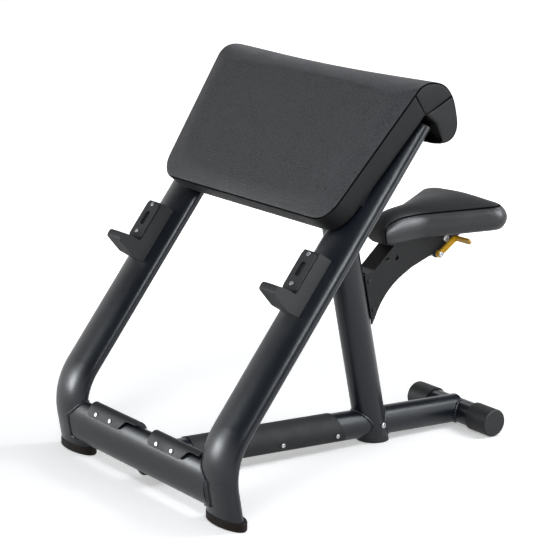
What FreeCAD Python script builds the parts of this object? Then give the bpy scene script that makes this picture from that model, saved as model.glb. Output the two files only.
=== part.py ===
import FreeCAD
import Part
import Sketcher
import math
import os

Vector = FreeCAD.Vector

# Driving sizes in millimetres and degrees

SIZES = {
    # reference point and general clearances
    "reference_setback": 442.23,
    "weld_gap": 0.3,
    "fit_gap": 0.3,
    "running_gap": 0.05,
    # bent oval uprights
    "upright_spread": 603.0,
    "upright_slope": 53.77,
    "foot_lean": 11.19,
    "bend_height": 147.4,
    "bend_radius": 150.0,
    "upright_overrun_length": 20.9,
    "upright_width": 122.0,
    "upright_depth": 44.0,
    "upright_wall": 3.0,
    "upright_cap_thickness": 4.0,
    "upright_cap_plug": 14.0,
    # front feet
    "shoe_floor": 8.0,
    "shoe_height": 21.0,
    "shoe_wall": 5.0,
    "shoe_round": 3.5,
    # front beam and step grips
    "front_beam_depth": 46.0,
    "front_beam_height": 100.0,
    "front_beam_wall": 3.0,
    "front_beam_lift": 82.0,
    "front_beam_ahead": 17.0,
    "front_beam_end": 30.0,
    "grip_right_gap": 3.0,
    "grip_left_gap": 42.0,
    "grip_between_gap": 64.0,
    "grip_thickness": 4.0,
    "grip_crown": 10.4,
    "grip_front_lift": 32.0,
    "grip_strip_lift": 54.0,
    "grip_rear_lift": 43.0,
    "grip_flap_share": 0.685,
    "grip_rise_length": 21.0,
    "grip_corner_radius": 8.0,
    "grip_rise_radius": 13.0,
    "grip_screw_spacing": 58.5,
    "grip_screw_shift_length": 28.4,
    "grip_screw_angle": 42.5,
    # base beam, cover and rear crossbar
    "base_beam_radius": 34.5,
    "base_beam_wall": 3.0,
    "base_rear_lift": 37.0,
    "base_front_lift": 59.0,
    "crossbar_setback": 891.7,
    "crossbar_radius": 29.5,
    "crossbar_wall": 3.0,
    "crossbar_length": 279.0,
    "rear_cap_radius": 34.0,
    "rear_cap_length": 70.0,
    "rear_cap_end": 6.0,
    "rear_cap_round": 5.0,
    "cover_thickness": 2.0,
    "cover_front_gap": 115.0,
    "cover_rear_gap": 103.7,
    "cover_rear_slant": 30.0,
    "cover_skirt": 25.0,
    "cover_screw_set_depth": 31.0,
    "cover_screw_spacing": 158.0,
    "cover_screw_depth": 9.0,
    # seat post
    "post_setback": 633.5,
    "post_radius": 38.5,
    "post_wall": 3.5,
    "post_length": 806.0,
    "post_foot_height": 14.0,
    "post_plug_length": 28.0,
    "post_bolt_height": 41.7,
    "post_bolt_swing": 14.0,
    "slope_length": 806.4,
    "crossmember_radius": 19.0,
    "crossmember_end": 30.0,
    "crossmember_wall": 2.5,
    # bar hooks, measured up the slope and out from the tube axis
    "hook_width": 54.0,
    "hook_top_gap": 58.0,
    "hook_top_slant": 3.0,
    "hook_face": 57.0,
    "hook_seat_drop": 105.0,
    "hook_reach": 110.0,
    "hook_tip_rise": 8.0,
    "hook_tip_thickness": 18.0,
    "hook_lip_start": 82.0,
    "hook_under_front_drop": 143.0,
    "hook_under_back_drop": 138.0,
    "hook_edge_radius": 4.0,
    "hook_seat_radius": 5.0,
    "hook_tip_radius": 8.0,
    "hook_lip_radius": 20.0,
    "liner_thickness": 4.0,
    "liner_margin": 6.0,
    "hook_screw_low_depth": 85.3,
    "hook_screw_high_depth": 13.0,
    "liner_groove_length": 35.0,
    "liner_groove_width": 17.0,
    "liner_groove_depth": 6.0,
    # arm pad
    "pad_roll_rise_length": 60.2,
    "pad_face_run": 329.3,
    "pad_roll_out": 28.7,
    "pad_roll_radius": 50.0,
    "pad_thickness": 53.9,
    "pad_flank_fall": 62.2,
    "pad_drop": 83.4,
    "pad_heel_radius": 22.0,
    "pad_notch": 22.0,
    "pad_fill_radius": 20.0,
    "pad_overhang": 16.1,
    "pad_flare": 49.3,
    "pad_corner_radius": 48.0,
    "pad_edge_round": 10.0,
    "pad_board_thickness": 12.0,
    "pad_board_inset": 10.0,
    "bracket_width": 50.0,
    "bracket_length": 180.0,
    "bracket_rise": 165.0,
    "pad_bolt_spacing": 140.0,
    "bolt_radius": 4.0,
    "bolt_head_radius": 7.0,
    "bolt_head_height": 5.0,
    "screw_radius": 2.6,
    "screw_head_radius": 5.2,
    "screw_head_height": 2.6,
    "socket_share": 0.5,
    # seat carriage, measured in the leaning frame of the post
    "seat_travel": 150.0,
    "index_pitch": 25.0,
    "block_drop": 158.0,
    "block_height": 130.0,
    "neck_thickness": 16.0,
    "neck_depth_inside": 10.0,
    "neck_height": 100.0,
    "post_slot_margin": 8.0,
    "lock_drop": 49.0,
    "lock_pin_radius": 4.0,
    "lock_pin_tip": 30.0,
    "index_bar_width": 20.0,
    "index_bar_thickness": 8.0,
    "arm_gap": 44.0,
    "arm_plate_thickness": 5.0,
    "arm_low_drop": 166.0,
    "arm_shoulder_drop": 40.0,
    "arm_shoulder_depth": 62.0,
    "arm_crest": 458.0,
    "arm_crest_depth": 131.0,
    "arm_length": 336.0,
    "arm_tail_height": 16.0,
    "arm_tail_rake": 4.0,
    "arm_underside_drop": 59.0,
    "arm_underside_depth": 247.0,
    "arm_curve_depth": 86.3,
    "arm_curve_drop": 95.6,
    "arm_curve_end_depth": 171.3,
    "arm_curve_end_drop": 70.0,
    "arm_curve_length": 58.0,
    "arm_corner_radius": 4.0,
    "arm_shoulder_radius": 20.0,
    "arm_crest_radius": 8.0,
    "arm_underside_radius": 40.0,
    "arm_hole_radius": 5.5,
    "arm_hole_depth": 132.0,
    "arm_hole_drop": 32.6,
    "arm_slot_depth": 104.0,
    "arm_slot_drop": 25.3,
    "arm_slot_width": 5.0,
    "arm_slot_length": 12.0,
    "arm_bolt_set_depth": 53.6,
    "arm_bolt_drop": 35.0,
    "front_web_depth": 40.0,
    "front_web_thickness": 6.0,
    "top_web_thickness": 4.0,
    "top_web_gap": 6.0,
    "arm_screw_low_depth": 133.0,
    "arm_screw_high_depth": 61.0,
    # release lever and lock
    "hinge_set_depth": 4.0,
    "hinge_drop": 63.0,
    "hinge_ear_radius": 11.0,
    "shaft_radius": 5.0,
    "lever_offset": 33.0,
    "lever_thickness": 6.0,
    "lever_width": 14.0,
    "lever_eye_radius": 9.0,
    "lever_length": 61.0,
    "lever_rise": 22.87,
    "lever_grip_length": 52.0,
    "lever_bend_radius": 11.0,
    "crank_offset": 8.0,
    "crank_thickness": 5.0,
    "crank_hub_radius": 9.0,
    "crank_width": 13.0,
    "crank_end": 7.0,
    "cross_pin_radius": 2.0,
    "cross_pin_play": 0.45,
    "spring_wire": 2.5,
    "spring_radius": 9.0,
    "spring_pitch": 3.1,
    "spring_start": 4.5,
    # seat, measured in its own pitched frame
    "seat_pitch": 6.5,
    "seat_plate_thickness": 4.0,
    "seat_plate_front_width": 60.0,
    "seat_plate_rear_width": 100.0,
    "seat_plate_front": 12.0,
    "seat_plate_rear": 214.0,
    "seat_nose": 43.0,
    "seat_nose_half": 46.0,
    "seat_nose_round": 20.0,
    "seat_waist": 64.0,
    "seat_waist_half": 53.0,
    "seat_waist_round": 105.0,
    "seat_rear": 273.0,
    "seat_rear_sweep": 6.0,
    "seat_rear_half": 172.0,
    "seat_rear_corner": 30.0,
    "seat_rear_round": 900.0,
    "seat_height": 59.0,
    "seat_crown": 5.5,
    "seat_tuck": 14.0,
    "seat_board_thickness": 12.0,
    "seat_board_inset": 22.0,
    "seat_bolt_front_width": 22.0,
    "seat_bolt_rear_width": 74.0,
    "seat_bolt_front_depth": 36.0,
    "seat_bolt_rear_depth": 186.0,
}
SPRING_TURNS = 5

doc = FreeCAD.newDocument("PreacherCurlBench")
sheet = doc.addObject("Spreadsheet::Sheet", "Sizes")
nodes = []


class Size:
    """A number together with the sheet expression that it comes from."""

    def __init__(self, value, text):
        self.value = value
        self.text = text

    def __add__(self, other):
        other = as_size(other)
        return Size(self.value + other.value, "(%s + %s)" % (self.text, other.text))

    def __sub__(self, other):
        other = as_size(other)
        return Size(self.value - other.value, "(%s - %s)" % (self.text, other.text))

    def __mul__(self, other):
        other = as_size(other)
        return Size(self.value * other.value, "(%s * %s)" % (self.text, other.text))

    def __truediv__(self, other):
        other = as_size(other)
        return Size(self.value / other.value, "(%s / %s)" % (self.text, other.text))

    def __radd__(self, other):
        return as_size(other) + self

    def __rsub__(self, other):
        return as_size(other) - self

    def __rmul__(self, other):
        return as_size(other) * self

    def __rtruediv__(self, other):
        return as_size(other) / self

    def __neg__(self):
        return Size(-self.value, "(0 - %s)" % self.text)


def as_size(number):
    """Wrap a plain number as a Size."""
    if isinstance(number, Size):
        return number
    return Size(float(number), "%.9g" % number)


def sine(angle):
    """Sine of an angle in degrees."""
    angle = as_size(angle)
    return Size(math.sin(math.radians(angle.value)), "sin(%s)" % angle.text)


def cosine(angle):
    """Cosine of an angle in degrees."""
    angle = as_size(angle)
    return Size(math.cos(math.radians(angle.value)), "cos(%s)" % angle.text)


def tangent(angle):
    """Tangent of an angle in degrees."""
    angle = as_size(angle)
    return Size(math.tan(math.radians(angle.value)), "tan(%s)" % angle.text)


def arc_tangent(ratio):
    """Angle in degrees with the given tangent."""
    return Size(math.degrees(math.atan(ratio.value)), "(atan(%s) / 1 deg)" % ratio.text)


def root(square):
    """Square root of a Size."""
    return Size(math.sqrt(square.value), "sqrt(%s)" % square.text)


def fill_sheet():
    """Write every driving size into the sheet and return them by name."""
    named = {}
    for row, (name, value) in enumerate(SIZES.items(), start=1):
        sheet.set("A%d" % row, name)
        sheet.set("B%d" % row, "%.9g" % value)
        sheet.setAlias("B%d" % row, name)
    doc.recompute()
    for name in SIZES:
        named[name] = Size(float(sheet.get(name)), "Sizes." + name)
    return named


d = fill_sheet()


class Frame:
    """A side-view frame: its origin and its turn about the cross axis."""

    def __init__(self, y, z, turn):
        self.y = as_size(y)
        self.z = as_size(z)
        self.turn = as_size(turn)

    def point(self, y, z):
        """World side-view position of a point given in this frame."""
        c = cosine(self.turn)
        s = sine(self.turn)
        return self.y + y * c - z * s, self.z + y * s + z * c


def place(obj, x, y, z, turn=None):
    """Bind an object's position and its turn about the cross axis."""
    x, y, z = as_size(x), as_size(y), as_size(z)
    rotation = FreeCAD.Rotation()
    if turn is not None:
        sign = 1.0 if turn.value >= 0 else -1.0
        angle = turn if sign > 0 else -turn
        rotation = FreeCAD.Rotation(Vector(sign, 0, 0), angle.value)
    obj.Placement = FreeCAD.Placement(Vector(x.value, y.value, z.value), rotation)
    for key, size in (("x", x), ("y", y), ("z", z)):
        obj.setExpression("Placement.Base." + key, size.text)
    if turn is not None:
        obj.setExpression("Placement.Rotation.Angle", angle.text)
    return obj


def put(obj, frame, x, y, z, extra=0.0):
    """Set an object in a frame, turned a further angle about the cross axis."""
    world_y, world_z = frame.point(as_size(y), as_size(z))
    return place(obj, x, world_y, world_z, frame.turn + extra)


def lay(obj, x, y, z, frame=None):
    """Lay an object's own up axis along the cross axis, starting at x."""
    x, y, z = as_size(x), as_size(y), as_size(z)
    if frame is not None:
        y, z = frame.point(y, z)
    turned = FreeCAD.Rotation(Vector(0, 1, 0), 90)
    obj.Placement = FreeCAD.Placement(Vector(x.value, y.value, z.value), turned)
    for key, size in (("x", x), ("y", y), ("z", z)):
        obj.setExpression("Placement.Base." + key, size.text)
    return obj


def bind(obj, **sizes):
    """Bind an object's properties to sizes."""
    for key, size in sizes.items():
        obj.setExpression(key, as_size(size).text)
    return obj


def cylinder(name, radius, height):
    """Round bar standing on its own origin."""
    return bind(doc.addObject("Part::Cylinder", name), Radius=radius, Height=height)


def box(name, length, width, height):
    """Block from its own origin."""
    return bind(doc.addObject("Part::Box", name), Length=length, Width=width, Height=height)


def oval_bar(name, half_width, half_depth, height):
    """Upright oval bar standing on its own origin."""
    section = doc.addObject("Part::Ellipse", name + "_section")
    bind(section, MajorRadius=half_width, MinorRadius=half_depth)
    bar = doc.addObject("Part::Extrusion", name)
    bar.Base = section
    bar.DirMode = "Custom"
    bar.Dir = Vector(0, 0, 1)
    bar.Solid = True
    return bind(bar, LengthFwd=height)


def cut(name, base, *tools):
    """Base less every tool."""
    result = doc.addObject("Part::Cut", name)
    result.Base = base
    result.Tool = tools[0] if len(tools) == 1 else fuse(name + "_tools", *tools)
    return result


def fuse(name, *shapes):
    """Several shapes made one."""
    result = doc.addObject("Part::MultiFuse", name)
    result.Shapes = list(shapes)
    return result


def common(name, *shapes):
    """What several shapes share."""
    result = doc.addObject("Part::MultiCommon", name)
    result.Shapes = list(shapes)
    return result


def group(name, *shapes):
    """Like fasteners kept as one piece list."""
    result = doc.addObject("Part::Compound", name)
    result.Links = list(shapes)
    return result


def mirror(name, source):
    """The same piece on the other side of the bench."""
    result = doc.addObject("Part::Mirroring", name)
    result.Source = source
    result.Base = Vector(0, 0, 0)
    result.Normal = Vector(1, 0, 0)
    return result


def node(obj, label):
    """Name a finished sub-part."""
    obj.Label = label
    nodes.append(obj)
    return obj


def round_edges(name, base, radius, chosen):
    """Round the edges of a shape that the test picks."""
    doc.recompute()
    picked = [i for i, edge in enumerate(base.Shape.Edges, start=1) if chosen(edge)]
    result = doc.addObject("Part::Fillet", name)
    result.Base = base
    result.Edges = [(i, radius.value, radius.value) for i in picked]
    return result


def origin_plane(body, role):
    """A body's own origin plane by its role."""
    return [f for f in body.Origin.OriginFeatures if f.Role == role][0]


def fix_point(sketch, index, position, x, y):
    """Hold a sketch point at bound coordinates."""
    for kind, size, axis in (("DistanceX", x, -2), ("DistanceY", y, -1)):
        if size.text == "0":
            sketch.addConstraint(Sketcher.Constraint("PointOnObject", index, position, axis))
            continue
        made = sketch.addConstraint(Sketcher.Constraint(kind, index, position, size.value))
        sketch.setExpression("Constraints[%d]" % made, size.text)


def fix_radius(sketch, index, radius):
    """Hold an arc or circle at a bound radius."""
    made = sketch.addConstraint(Sketcher.Constraint("Radius", index, radius.value))
    sketch.setExpression("Constraints[%d]" % made, radius.text)


def draw_outline(sketch, corners, closed=True):
    """Draw straight runs through corners (x, y) or rounded corners (x, y, radius)."""
    corners = [tuple(as_size(part) for part in corner) for corner in corners]
    count = len(corners)
    points = [Vector(corner[0].value, corner[1].value, 0) for corner in corners]
    entry = list(points)
    leave = list(points)
    middle = {}
    for i, corner in enumerate(corners):
        if len(corner) < 3:
            continue
        before = (points[i - 1] - points[i]).normalize()
        after = (points[(i + 1) % count] - points[i]).normalize()
        half = before.getAngle(after) / 2
        radius = corner[2].value
        entry[i] = points[i] + before * (radius / math.tan(half))
        leave[i] = points[i] + after * (radius / math.tan(half))
        inward = (before + after).normalize()
        middle[i] = points[i] + inward * (radius / math.sin(half) - radius)
    runs = count if closed else count - 1
    for i in range(runs):
        sketch.addGeometry(Part.LineSegment(leave[i], entry[(i + 1) % count]), False)
    for i, corner in enumerate(corners):
        first = (i - 1) % count
        if i in middle:
            arc = sketch.addGeometry(Part.Arc(entry[i], middle[i], leave[i]), False)
            starts = sketch.getPoint(arc, 1).distanceToPoint(entry[i]) < 1e-6
            ends = (1, 2) if starts else (2, 1)
            sketch.addConstraint(Sketcher.Constraint("Tangent", first, 2, arc, ends[0]))
            sketch.addConstraint(Sketcher.Constraint("Tangent", arc, ends[1], i, 1))
            fix_radius(sketch, arc, corner[2])
            mark = sketch.addGeometry(Part.Point(points[i]), True)
            fix_point(sketch, mark, 1, corner[0], corner[1])
            sketch.addConstraint(Sketcher.Constraint("PointOnObject", mark, 1, first))
            sketch.addConstraint(Sketcher.Constraint("PointOnObject", mark, 1, i))
        elif not closed and i == count - 1:
            fix_point(sketch, first, 2, corner[0], corner[1])
        else:
            if closed or i > 0:
                sketch.addConstraint(Sketcher.Constraint("Coincident", first, 2, i, 1))
            fix_point(sketch, i, 1, corner[0], corner[1])
    return sketch


def draw_circle(sketch, x, y, radius):
    """Draw a bound circle."""
    x, y, radius = as_size(x), as_size(y), as_size(radius)
    made = sketch.addGeometry(Part.Circle(Vector(x.value, y.value, 0), Vector(0, 0, 1), radius.value), False)
    fix_point(sketch, made, 3, x, y)
    fix_radius(sketch, made, radius)


def new_sketch(body, name, role):
    """An empty sketch on a body's origin plane."""
    sketch = body.newObject("Sketcher::SketchObject", name)
    sketch.AttachmentSupport = [(origin_plane(body, role), "")]
    sketch.MapMode = "FlatFace"
    return sketch


def pad(body, name, sketch, length):
    """Grow a sketch evenly to both sides."""
    feature = body.newObject("PartDesign::Pad", name)
    feature.Profile = sketch
    feature.SideType = "Symmetric"
    return bind(feature, Length=length)


def prism(name, corners, width, role="YZ_Plane"):
    """A body with one outline grown evenly about its plane."""
    body = doc.addObject("PartDesign::Body", name)
    sketch = new_sketch(body, name + "_outline", role)
    draw_outline(sketch, corners)
    pad(body, name + "_pad", sketch, width)
    return body


def drill(body, name, circles, role="YZ_Plane"):
    """Bore round holes right through a body."""
    sketch = new_sketch(body, name + "_circles", role)
    for circle in circles:
        draw_circle(sketch, *circle)
    feature = body.newObject("PartDesign::Pocket", name)
    feature.Profile = sketch
    feature.Type = "ThroughAll"
    feature.SideType = "Symmetric"
    return feature


# Shared positions

half_spread = d["upright_spread"] / 2
tube_rx = d["upright_width"] / 2
tube_ry = d["upright_depth"] / 2
foot_y = -d["reference_setback"]
corner_y = foot_y - d["bend_height"] * tangent(d["foot_lean"])
slope = Frame(corner_y, d["bend_height"], d["upright_slope"] - 90)
cross_y, cross_z = slope.point(as_size(0), d["slope_length"])
post_y = foot_y + d["post_setback"]
post_lean = arc_tangent((post_y - cross_y) / cross_z)
post = Frame(post_y, 0, post_lean)
bar_y = foot_y + d["crossbar_setback"]
bar_z = d["rear_cap_radius"]
front_y = foot_y - d["front_beam_ahead"]
front_z = d["front_beam_lift"]
base_run = d["crossbar_setback"] + d["front_beam_ahead"]
base_rise = arc_tangent((d["base_front_lift"] - d["base_rear_lift"]) / base_run)
base = Frame(bar_y, d["base_rear_lift"], 90 - base_rise)
base_length = base_run / cosine(base_rise)
upright_top = d["slope_length"] + d["upright_overrun_length"]
roll_station = d["slope_length"] + d["pad_roll_rise_length"]
low_station = roll_station - d["pad_face_run"]
bracket_station = low_station + d["bracket_rise"]
roll_y, roll_z = slope.point(-d["pad_roll_out"], roll_station)
flank = Frame(roll_y, roll_z, 90 - d["pad_flank_fall"])
pad_inner = d["pad_roll_radius"] - d["pad_thickness"]
pad_back = pad_inner + d["pad_roll_out"]

hook_top = low_station - d["hook_top_gap"]
hook_seat = hook_top - d["hook_seat_drop"]
hook_under_front = hook_top - d["hook_under_front_drop"]
hook_under_back = hook_top - d["hook_under_back_drop"]
hook_screw_low = hook_top - d["hook_screw_low_depth"]
hook_screw_high = hook_top - d["hook_screw_high_depth"]

block_low = d["arm_crest"] - d["block_drop"]
lock_height = d["arm_crest"] - d["lock_drop"]
hinge_height = d["arm_crest"] - d["hinge_drop"]
hinge_depth = d["arm_underside_depth"] + d["hinge_set_depth"]
arm_bolt_depth = d["arm_length"] - d["arm_bolt_set_depth"]
arm_low = d["arm_crest"] - d["arm_low_drop"]
arm_shoulder = d["arm_crest"] - d["arm_shoulder_drop"]
arm_underside = d["arm_crest"] - d["arm_underside_drop"]
arm_curve_height = d["arm_crest"] - d["arm_curve_drop"]
arm_curve_end = d["arm_crest"] - d["arm_curve_end_drop"]
arm_hole_height = d["arm_crest"] - d["arm_hole_drop"]
arm_slot_height = d["arm_crest"] - d["arm_slot_drop"]
arm_bolt_height = d["arm_crest"] - d["arm_bolt_drop"]
arm_screw_low = d["arm_crest"] - d["arm_screw_low_depth"]
arm_screw_high = d["arm_crest"] - d["arm_screw_high_depth"]

# Bent oval uprights


def swept_oval(name, growth):
    """Solid oval along the right upright, grown outward by a margin."""
    spine = doc.addObject("Sketcher::SketchObject", name + "_spine")
    spine.Placement = FreeCAD.Placement(Vector(0, 0, 0), FreeCAD.Rotation(Vector(1, 1, 1), 120))
    spine.setExpression("Placement.Base.x", half_spread.text)
    top = slope.point(as_size(0), upright_top)
    draw_outline(spine, [(foot_y, 0), (corner_y, d["bend_height"], d["bend_radius"]), top], closed=False)
    section = doc.addObject("Part::Ellipse", name + "_section")
    bind(section, MajorRadius=tube_rx + growth, MinorRadius=tube_ry + growth)
    place(section, half_spread, foot_y, 0, d["foot_lean"])
    doc.recompute()
    sweep = doc.addObject("Part::Sweep", name)
    sweep.Sections = [section]
    sweep.Spine = (spine, ["Edge1", "Edge2", "Edge3"])
    sweep.Solid = True
    sweep.Frenet = False
    return sweep


ground_cut = box("ground_cut", d["upright_width"] * 2, d["upright_depth"] * 4, d["shoe_floor"] * 2)
place(ground_cut, half_spread - d["upright_width"], foot_y - d["upright_depth"] * 2, -d["shoe_floor"])
upright_outer = swept_oval("upright_outer", as_size(0))
upright_inner = swept_oval("upright_inner", -d["upright_wall"])
upright_clear = cut("upright_clear", swept_oval("upright_clear_full", d["weld_gap"]), ground_cut)
upright_clear_left = mirror("upright_clear_left", upright_clear)

pad_bolt_rows = (bracket_station - d["pad_bolt_spacing"] / 2, bracket_station + d["pad_bolt_spacing"] / 2)
hook_screw_rows = (hook_screw_low, hook_screw_high)
bolt_hole = d["bolt_radius"] + d["fit_gap"]
screw_hole = d["screw_radius"] + d["fit_gap"]


def slope_rod(name, radius, station, start, end):
    """Round bar square to the right upright's slope, between two distances out from its axis."""
    rod = cylinder(name, radius, end - start)
    return put(rod, slope, half_spread, -start, station, 90)


pad_bolt_bores = [
    slope_rod("pad_bolt_bore_%d" % i, bolt_hole, row, -tube_ry * 2, d["pad_thickness"])
    for i, row in enumerate(pad_bolt_rows)
]
hook_screw_bores = [
    slope_rod("hook_screw_bore_%d" % i, screw_hole, row, as_size(0), d["hook_face"] * 2)
    for i, row in enumerate(hook_screw_rows)
]
right_upright = cut("right_upright_tube", upright_outer, upright_inner, ground_cut, *pad_bolt_bores, *hook_screw_bores)
node(right_upright, "right_upright")
node(mirror("left_upright_tube", right_upright), "left_upright")

# Rubber feet and end plugs of the uprights

shoe_blank = oval_bar(
    "shoe_blank", tube_rx + d["shoe_wall"], tube_ry / cosine(d["foot_lean"]) + d["shoe_wall"], d["shoe_height"]
)
place(shoe_blank, half_spread, foot_y, 0)
shoe_soft = round_edges("shoe_soft", shoe_blank, d["shoe_round"], lambda e: len(e.Vertexes) == 1)
right_front_foot = cut("right_front_foot_cup", shoe_soft, upright_clear)
node(right_front_foot, "right_front_foot")
node(mirror("left_front_foot_cup", right_front_foot), "left_front_foot")

cap_lid = oval_bar("cap_lid", tube_rx, tube_ry, d["upright_cap_thickness"])
put(cap_lid, slope, half_spread, 0, upright_top)
cap_soft = round_edges(
    "cap_soft", cap_lid, d["upright_cap_thickness"] * 0.7,
    lambda e: len(e.Vertexes) == 1 and e.CenterOfMass.z > slope.point(as_size(0), upright_top)[1].value + 1,
)
cap_inset = d["upright_wall"] + d["fit_gap"]
cap_plug = oval_bar("cap_plug", tube_rx - cap_inset, tube_ry - cap_inset, d["upright_cap_plug"])
put(cap_plug, slope, half_spread, 0, upright_top - d["upright_cap_plug"])
right_upright_cap = fuse("right_upright_cap_plug", cap_soft, cap_plug)
node(right_upright_cap, "right_upright_cap")
node(mirror("left_upright_cap_plug", right_upright_cap), "left_upright_cap")

# Front beam and its rubber step grips

beam_rx = d["front_beam_depth"] / 2
beam_rz = d["front_beam_height"] / 2
beam_length = d["upright_spread"] - d["front_beam_end"] * 2


def beam_oval(name, growth, length, x, crown=None):
    """Solid oval along the cross axis on the front beam's line, grown by a margin and by its own crown on top."""
    bar = oval_bar(name, beam_rz + (growth if crown is None else crown), beam_rx + growth, length)
    return lay(bar, as_size(x) - length / 2, front_y, front_z)


beam_outer = beam_oval("front_beam_outer", as_size(0), beam_length, 0)
beam_inner = beam_oval("front_beam_inner", -d["front_beam_wall"], beam_length + 2, 0)
beam_coped = cut("front_beam_coped", beam_outer, upright_clear, upright_clear_left)
clear_half = half_spread - tube_rx
grip_length = clear_half - (d["grip_right_gap"] + d["grip_left_gap"] + d["grip_between_gap"]) / 2
grip_spots = (
    clear_half - d["grip_right_gap"] - grip_length / 2,
    -clear_half + d["grip_left_gap"] + grip_length / 2,
)
grip_growth = d["fit_gap"] + d["grip_thickness"]
grip_crown = d["fit_gap"] + d["grip_crown"]
grip_angle = d["grip_screw_angle"]
grip_face_y = (beam_rx + grip_growth) * cosine(grip_angle)
grip_face_z = (beam_rz + grip_crown) * sine(grip_angle)
grip_normal = arc_tangent(
    sine(grip_angle) / (beam_rz + grip_crown) / (cosine(grip_angle) / (beam_rx + grip_growth))
)
grip_screw_line = Frame(front_y - grip_face_y, front_z + grip_face_z, 90 - grip_normal)
grip_screw_xs = [
    spot - d["grip_screw_shift_length"] + d["grip_screw_spacing"] / 2 * end for spot in grip_spots for end in (-1, 1)
]


def stud(name, radius, head_radius, head_height, depth):
    """Pan-head fastener whose head sits above its own origin and whose shank goes down."""
    body = doc.addObject("PartDesign::Body", name)
    sketch = new_sketch(body, name + "_half", "XZ_Plane")
    dome = head_height * 0.45
    draw_outline(
        sketch,
        [(0, -depth), (radius, -depth), (radius, 0), (head_radius, 0), (head_radius, head_height, dome), (0, head_height)],
    )
    turned = body.newObject("PartDesign::Revolution", name + "_turned")
    turned.Profile = sketch
    turned.ReferenceAxis = (sketch, ["V_Axis"])
    turned.Angle = 360
    socket = doc.addObject("Part::Prism", name + "_socket")
    socket.Polygon = 6
    bind(socket, Circumradius=head_radius * d["socket_share"], Height=head_height)
    place(socket, 0, 0, head_height * d["socket_share"])
    return cut(name + "_driven", body, socket)


grip_screw_depth = d["grip_thickness"] + d["front_beam_wall"] + 5
grip_screws = []
grip_bores = []
for i, x in enumerate(grip_screw_xs):
    screw = stud(
        "grip_screw_%d" % i, d["screw_radius"], d["screw_head_radius"], d["screw_head_height"], grip_screw_depth
    )
    grip_screws.append(put(screw, grip_screw_line, x, 0, 0))
    bore = cylinder("grip_bore_%d" % i, screw_hole, grip_screw_depth + 10)
    grip_bores.append(put(bore, grip_screw_line, x, 0, -grip_screw_depth - 5))
node(group("step_grip_screw_set", *grip_screws), "step_grip_screws")
beam_bored = cut("front_beam_bored", beam_coped, *grip_bores)
node(cut("front_beam_tube", beam_bored, beam_inner), "front_beam")

grip_reach = beam_rx * 2
grip_top = beam_rz + grip_crown * 2
flap_end = grip_length * (d["grip_flap_share"] - 0.5)


def step_grip(name, x):
    """Rubber cover over the beam: a strip along its crest with a flap down the front on the left."""
    shell = cut(
        name + "_shell",
        beam_oval(name + "_outer", grip_growth, grip_length, x, grip_crown),
        beam_oval(name + "_inner", d["fit_gap"], grip_length + 2, x),
    )
    front = prism(
        name + "_front",
        [
            (-grip_length / 2, d["grip_front_lift"], d["grip_corner_radius"]),
            (flap_end, d["grip_front_lift"], d["grip_rise_radius"]),
            (flap_end + d["grip_rise_length"], d["grip_strip_lift"], d["grip_rise_radius"]),
            (grip_length / 2, d["grip_strip_lift"]),
            (grip_length / 2, grip_top),
            (-grip_length / 2, grip_top),
        ],
        grip_reach,
        "XZ_Plane",
    )
    place(front, x, front_y - grip_reach / 2, front_z)
    rear = box(name + "_rear", grip_length, grip_reach, grip_top - d["grip_rear_lift"])
    place(rear, x - grip_length / 2, front_y, front_z + d["grip_rear_lift"])
    kept = common(name + "_kept", shell, fuse(name + "_window", front, rear))
    return cut(name + "_bored", kept, *grip_bores)


node(step_grip("right_grip", grip_spots[0]), "right_step_grip")
node(step_grip("left_grip", grip_spots[1]), "left_step_grip")

# Seat post, its foot plug and bolt

post_outer = put(cylinder("post_outer", d["post_radius"], d["post_length"]), post, 0, 0, 0)
post_bore = put(
    cylinder("post_bore", d["post_radius"] - d["post_wall"], d["post_length"] + 2), post, 0, 0, -1
)
post_clear = put(
    cylinder("post_clear", d["post_radius"] + d["weld_gap"], d["post_length"] * 1.5), post, 0, 0, -d["post_length"] / 4
)
cross_half = half_spread - d["crossmember_end"]
cross_solid = cylinder("cross_solid", d["crossmember_radius"] + d["weld_gap"], cross_half * 2)
lay(cross_solid, -cross_half, cross_y, cross_z)
foot_slab = box("foot_slab", d["post_radius"] * 4, d["post_radius"] * 4, d["post_foot_height"] * 6)
place(foot_slab, -d["post_radius"] * 2, post_y - d["post_radius"] * 2, -d["post_foot_height"] * 5)
slot_low = block_low - d["post_slot_margin"]
slot_half = d["neck_thickness"] / 2 + d["fit_gap"] * 2
rod_clear = d["lock_pin_radius"] + d["fit_gap"] * 3
slot_top = lock_height + rod_clear + d["seat_travel"] + d["post_slot_margin"]
post_slot = prism(
    "post_slot",
    [
        (-slot_half, slot_low, slot_half * 0.98),
        (slot_half, slot_low, slot_half * 0.98),
        (slot_half, slot_top, slot_half * 0.98),
        (-slot_half, slot_top, slot_half * 0.98),
    ],
    d["post_radius"] * 2,
    "XZ_Plane",
)
put(post_slot, post, 0, d["post_radius"], 0)
bolt_turn = d["post_bolt_swing"]
bolt_out = d["post_radius"]


def post_radial(obj, height, start):
    """Point an object's up axis outward from the post at the bolt's swing."""
    y, z = post.point(start * sine(bolt_turn), height)
    x = start * cosine(bolt_turn)
    obj.Placement = FreeCAD.Placement(
        Vector(x.value, y.value, z.value),
        FreeCAD.Rotation(Vector(1, 0, 0), post_lean.value)
        * FreeCAD.Rotation(Vector(0, 0, 1), bolt_turn.value)
        * FreeCAD.Rotation(Vector(0, 1, 0), 90),
    )
    for key, size in (("x", x), ("y", y), ("z", z)):
        obj.setExpression("Placement.Base." + key, size.text)
    return obj


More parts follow.
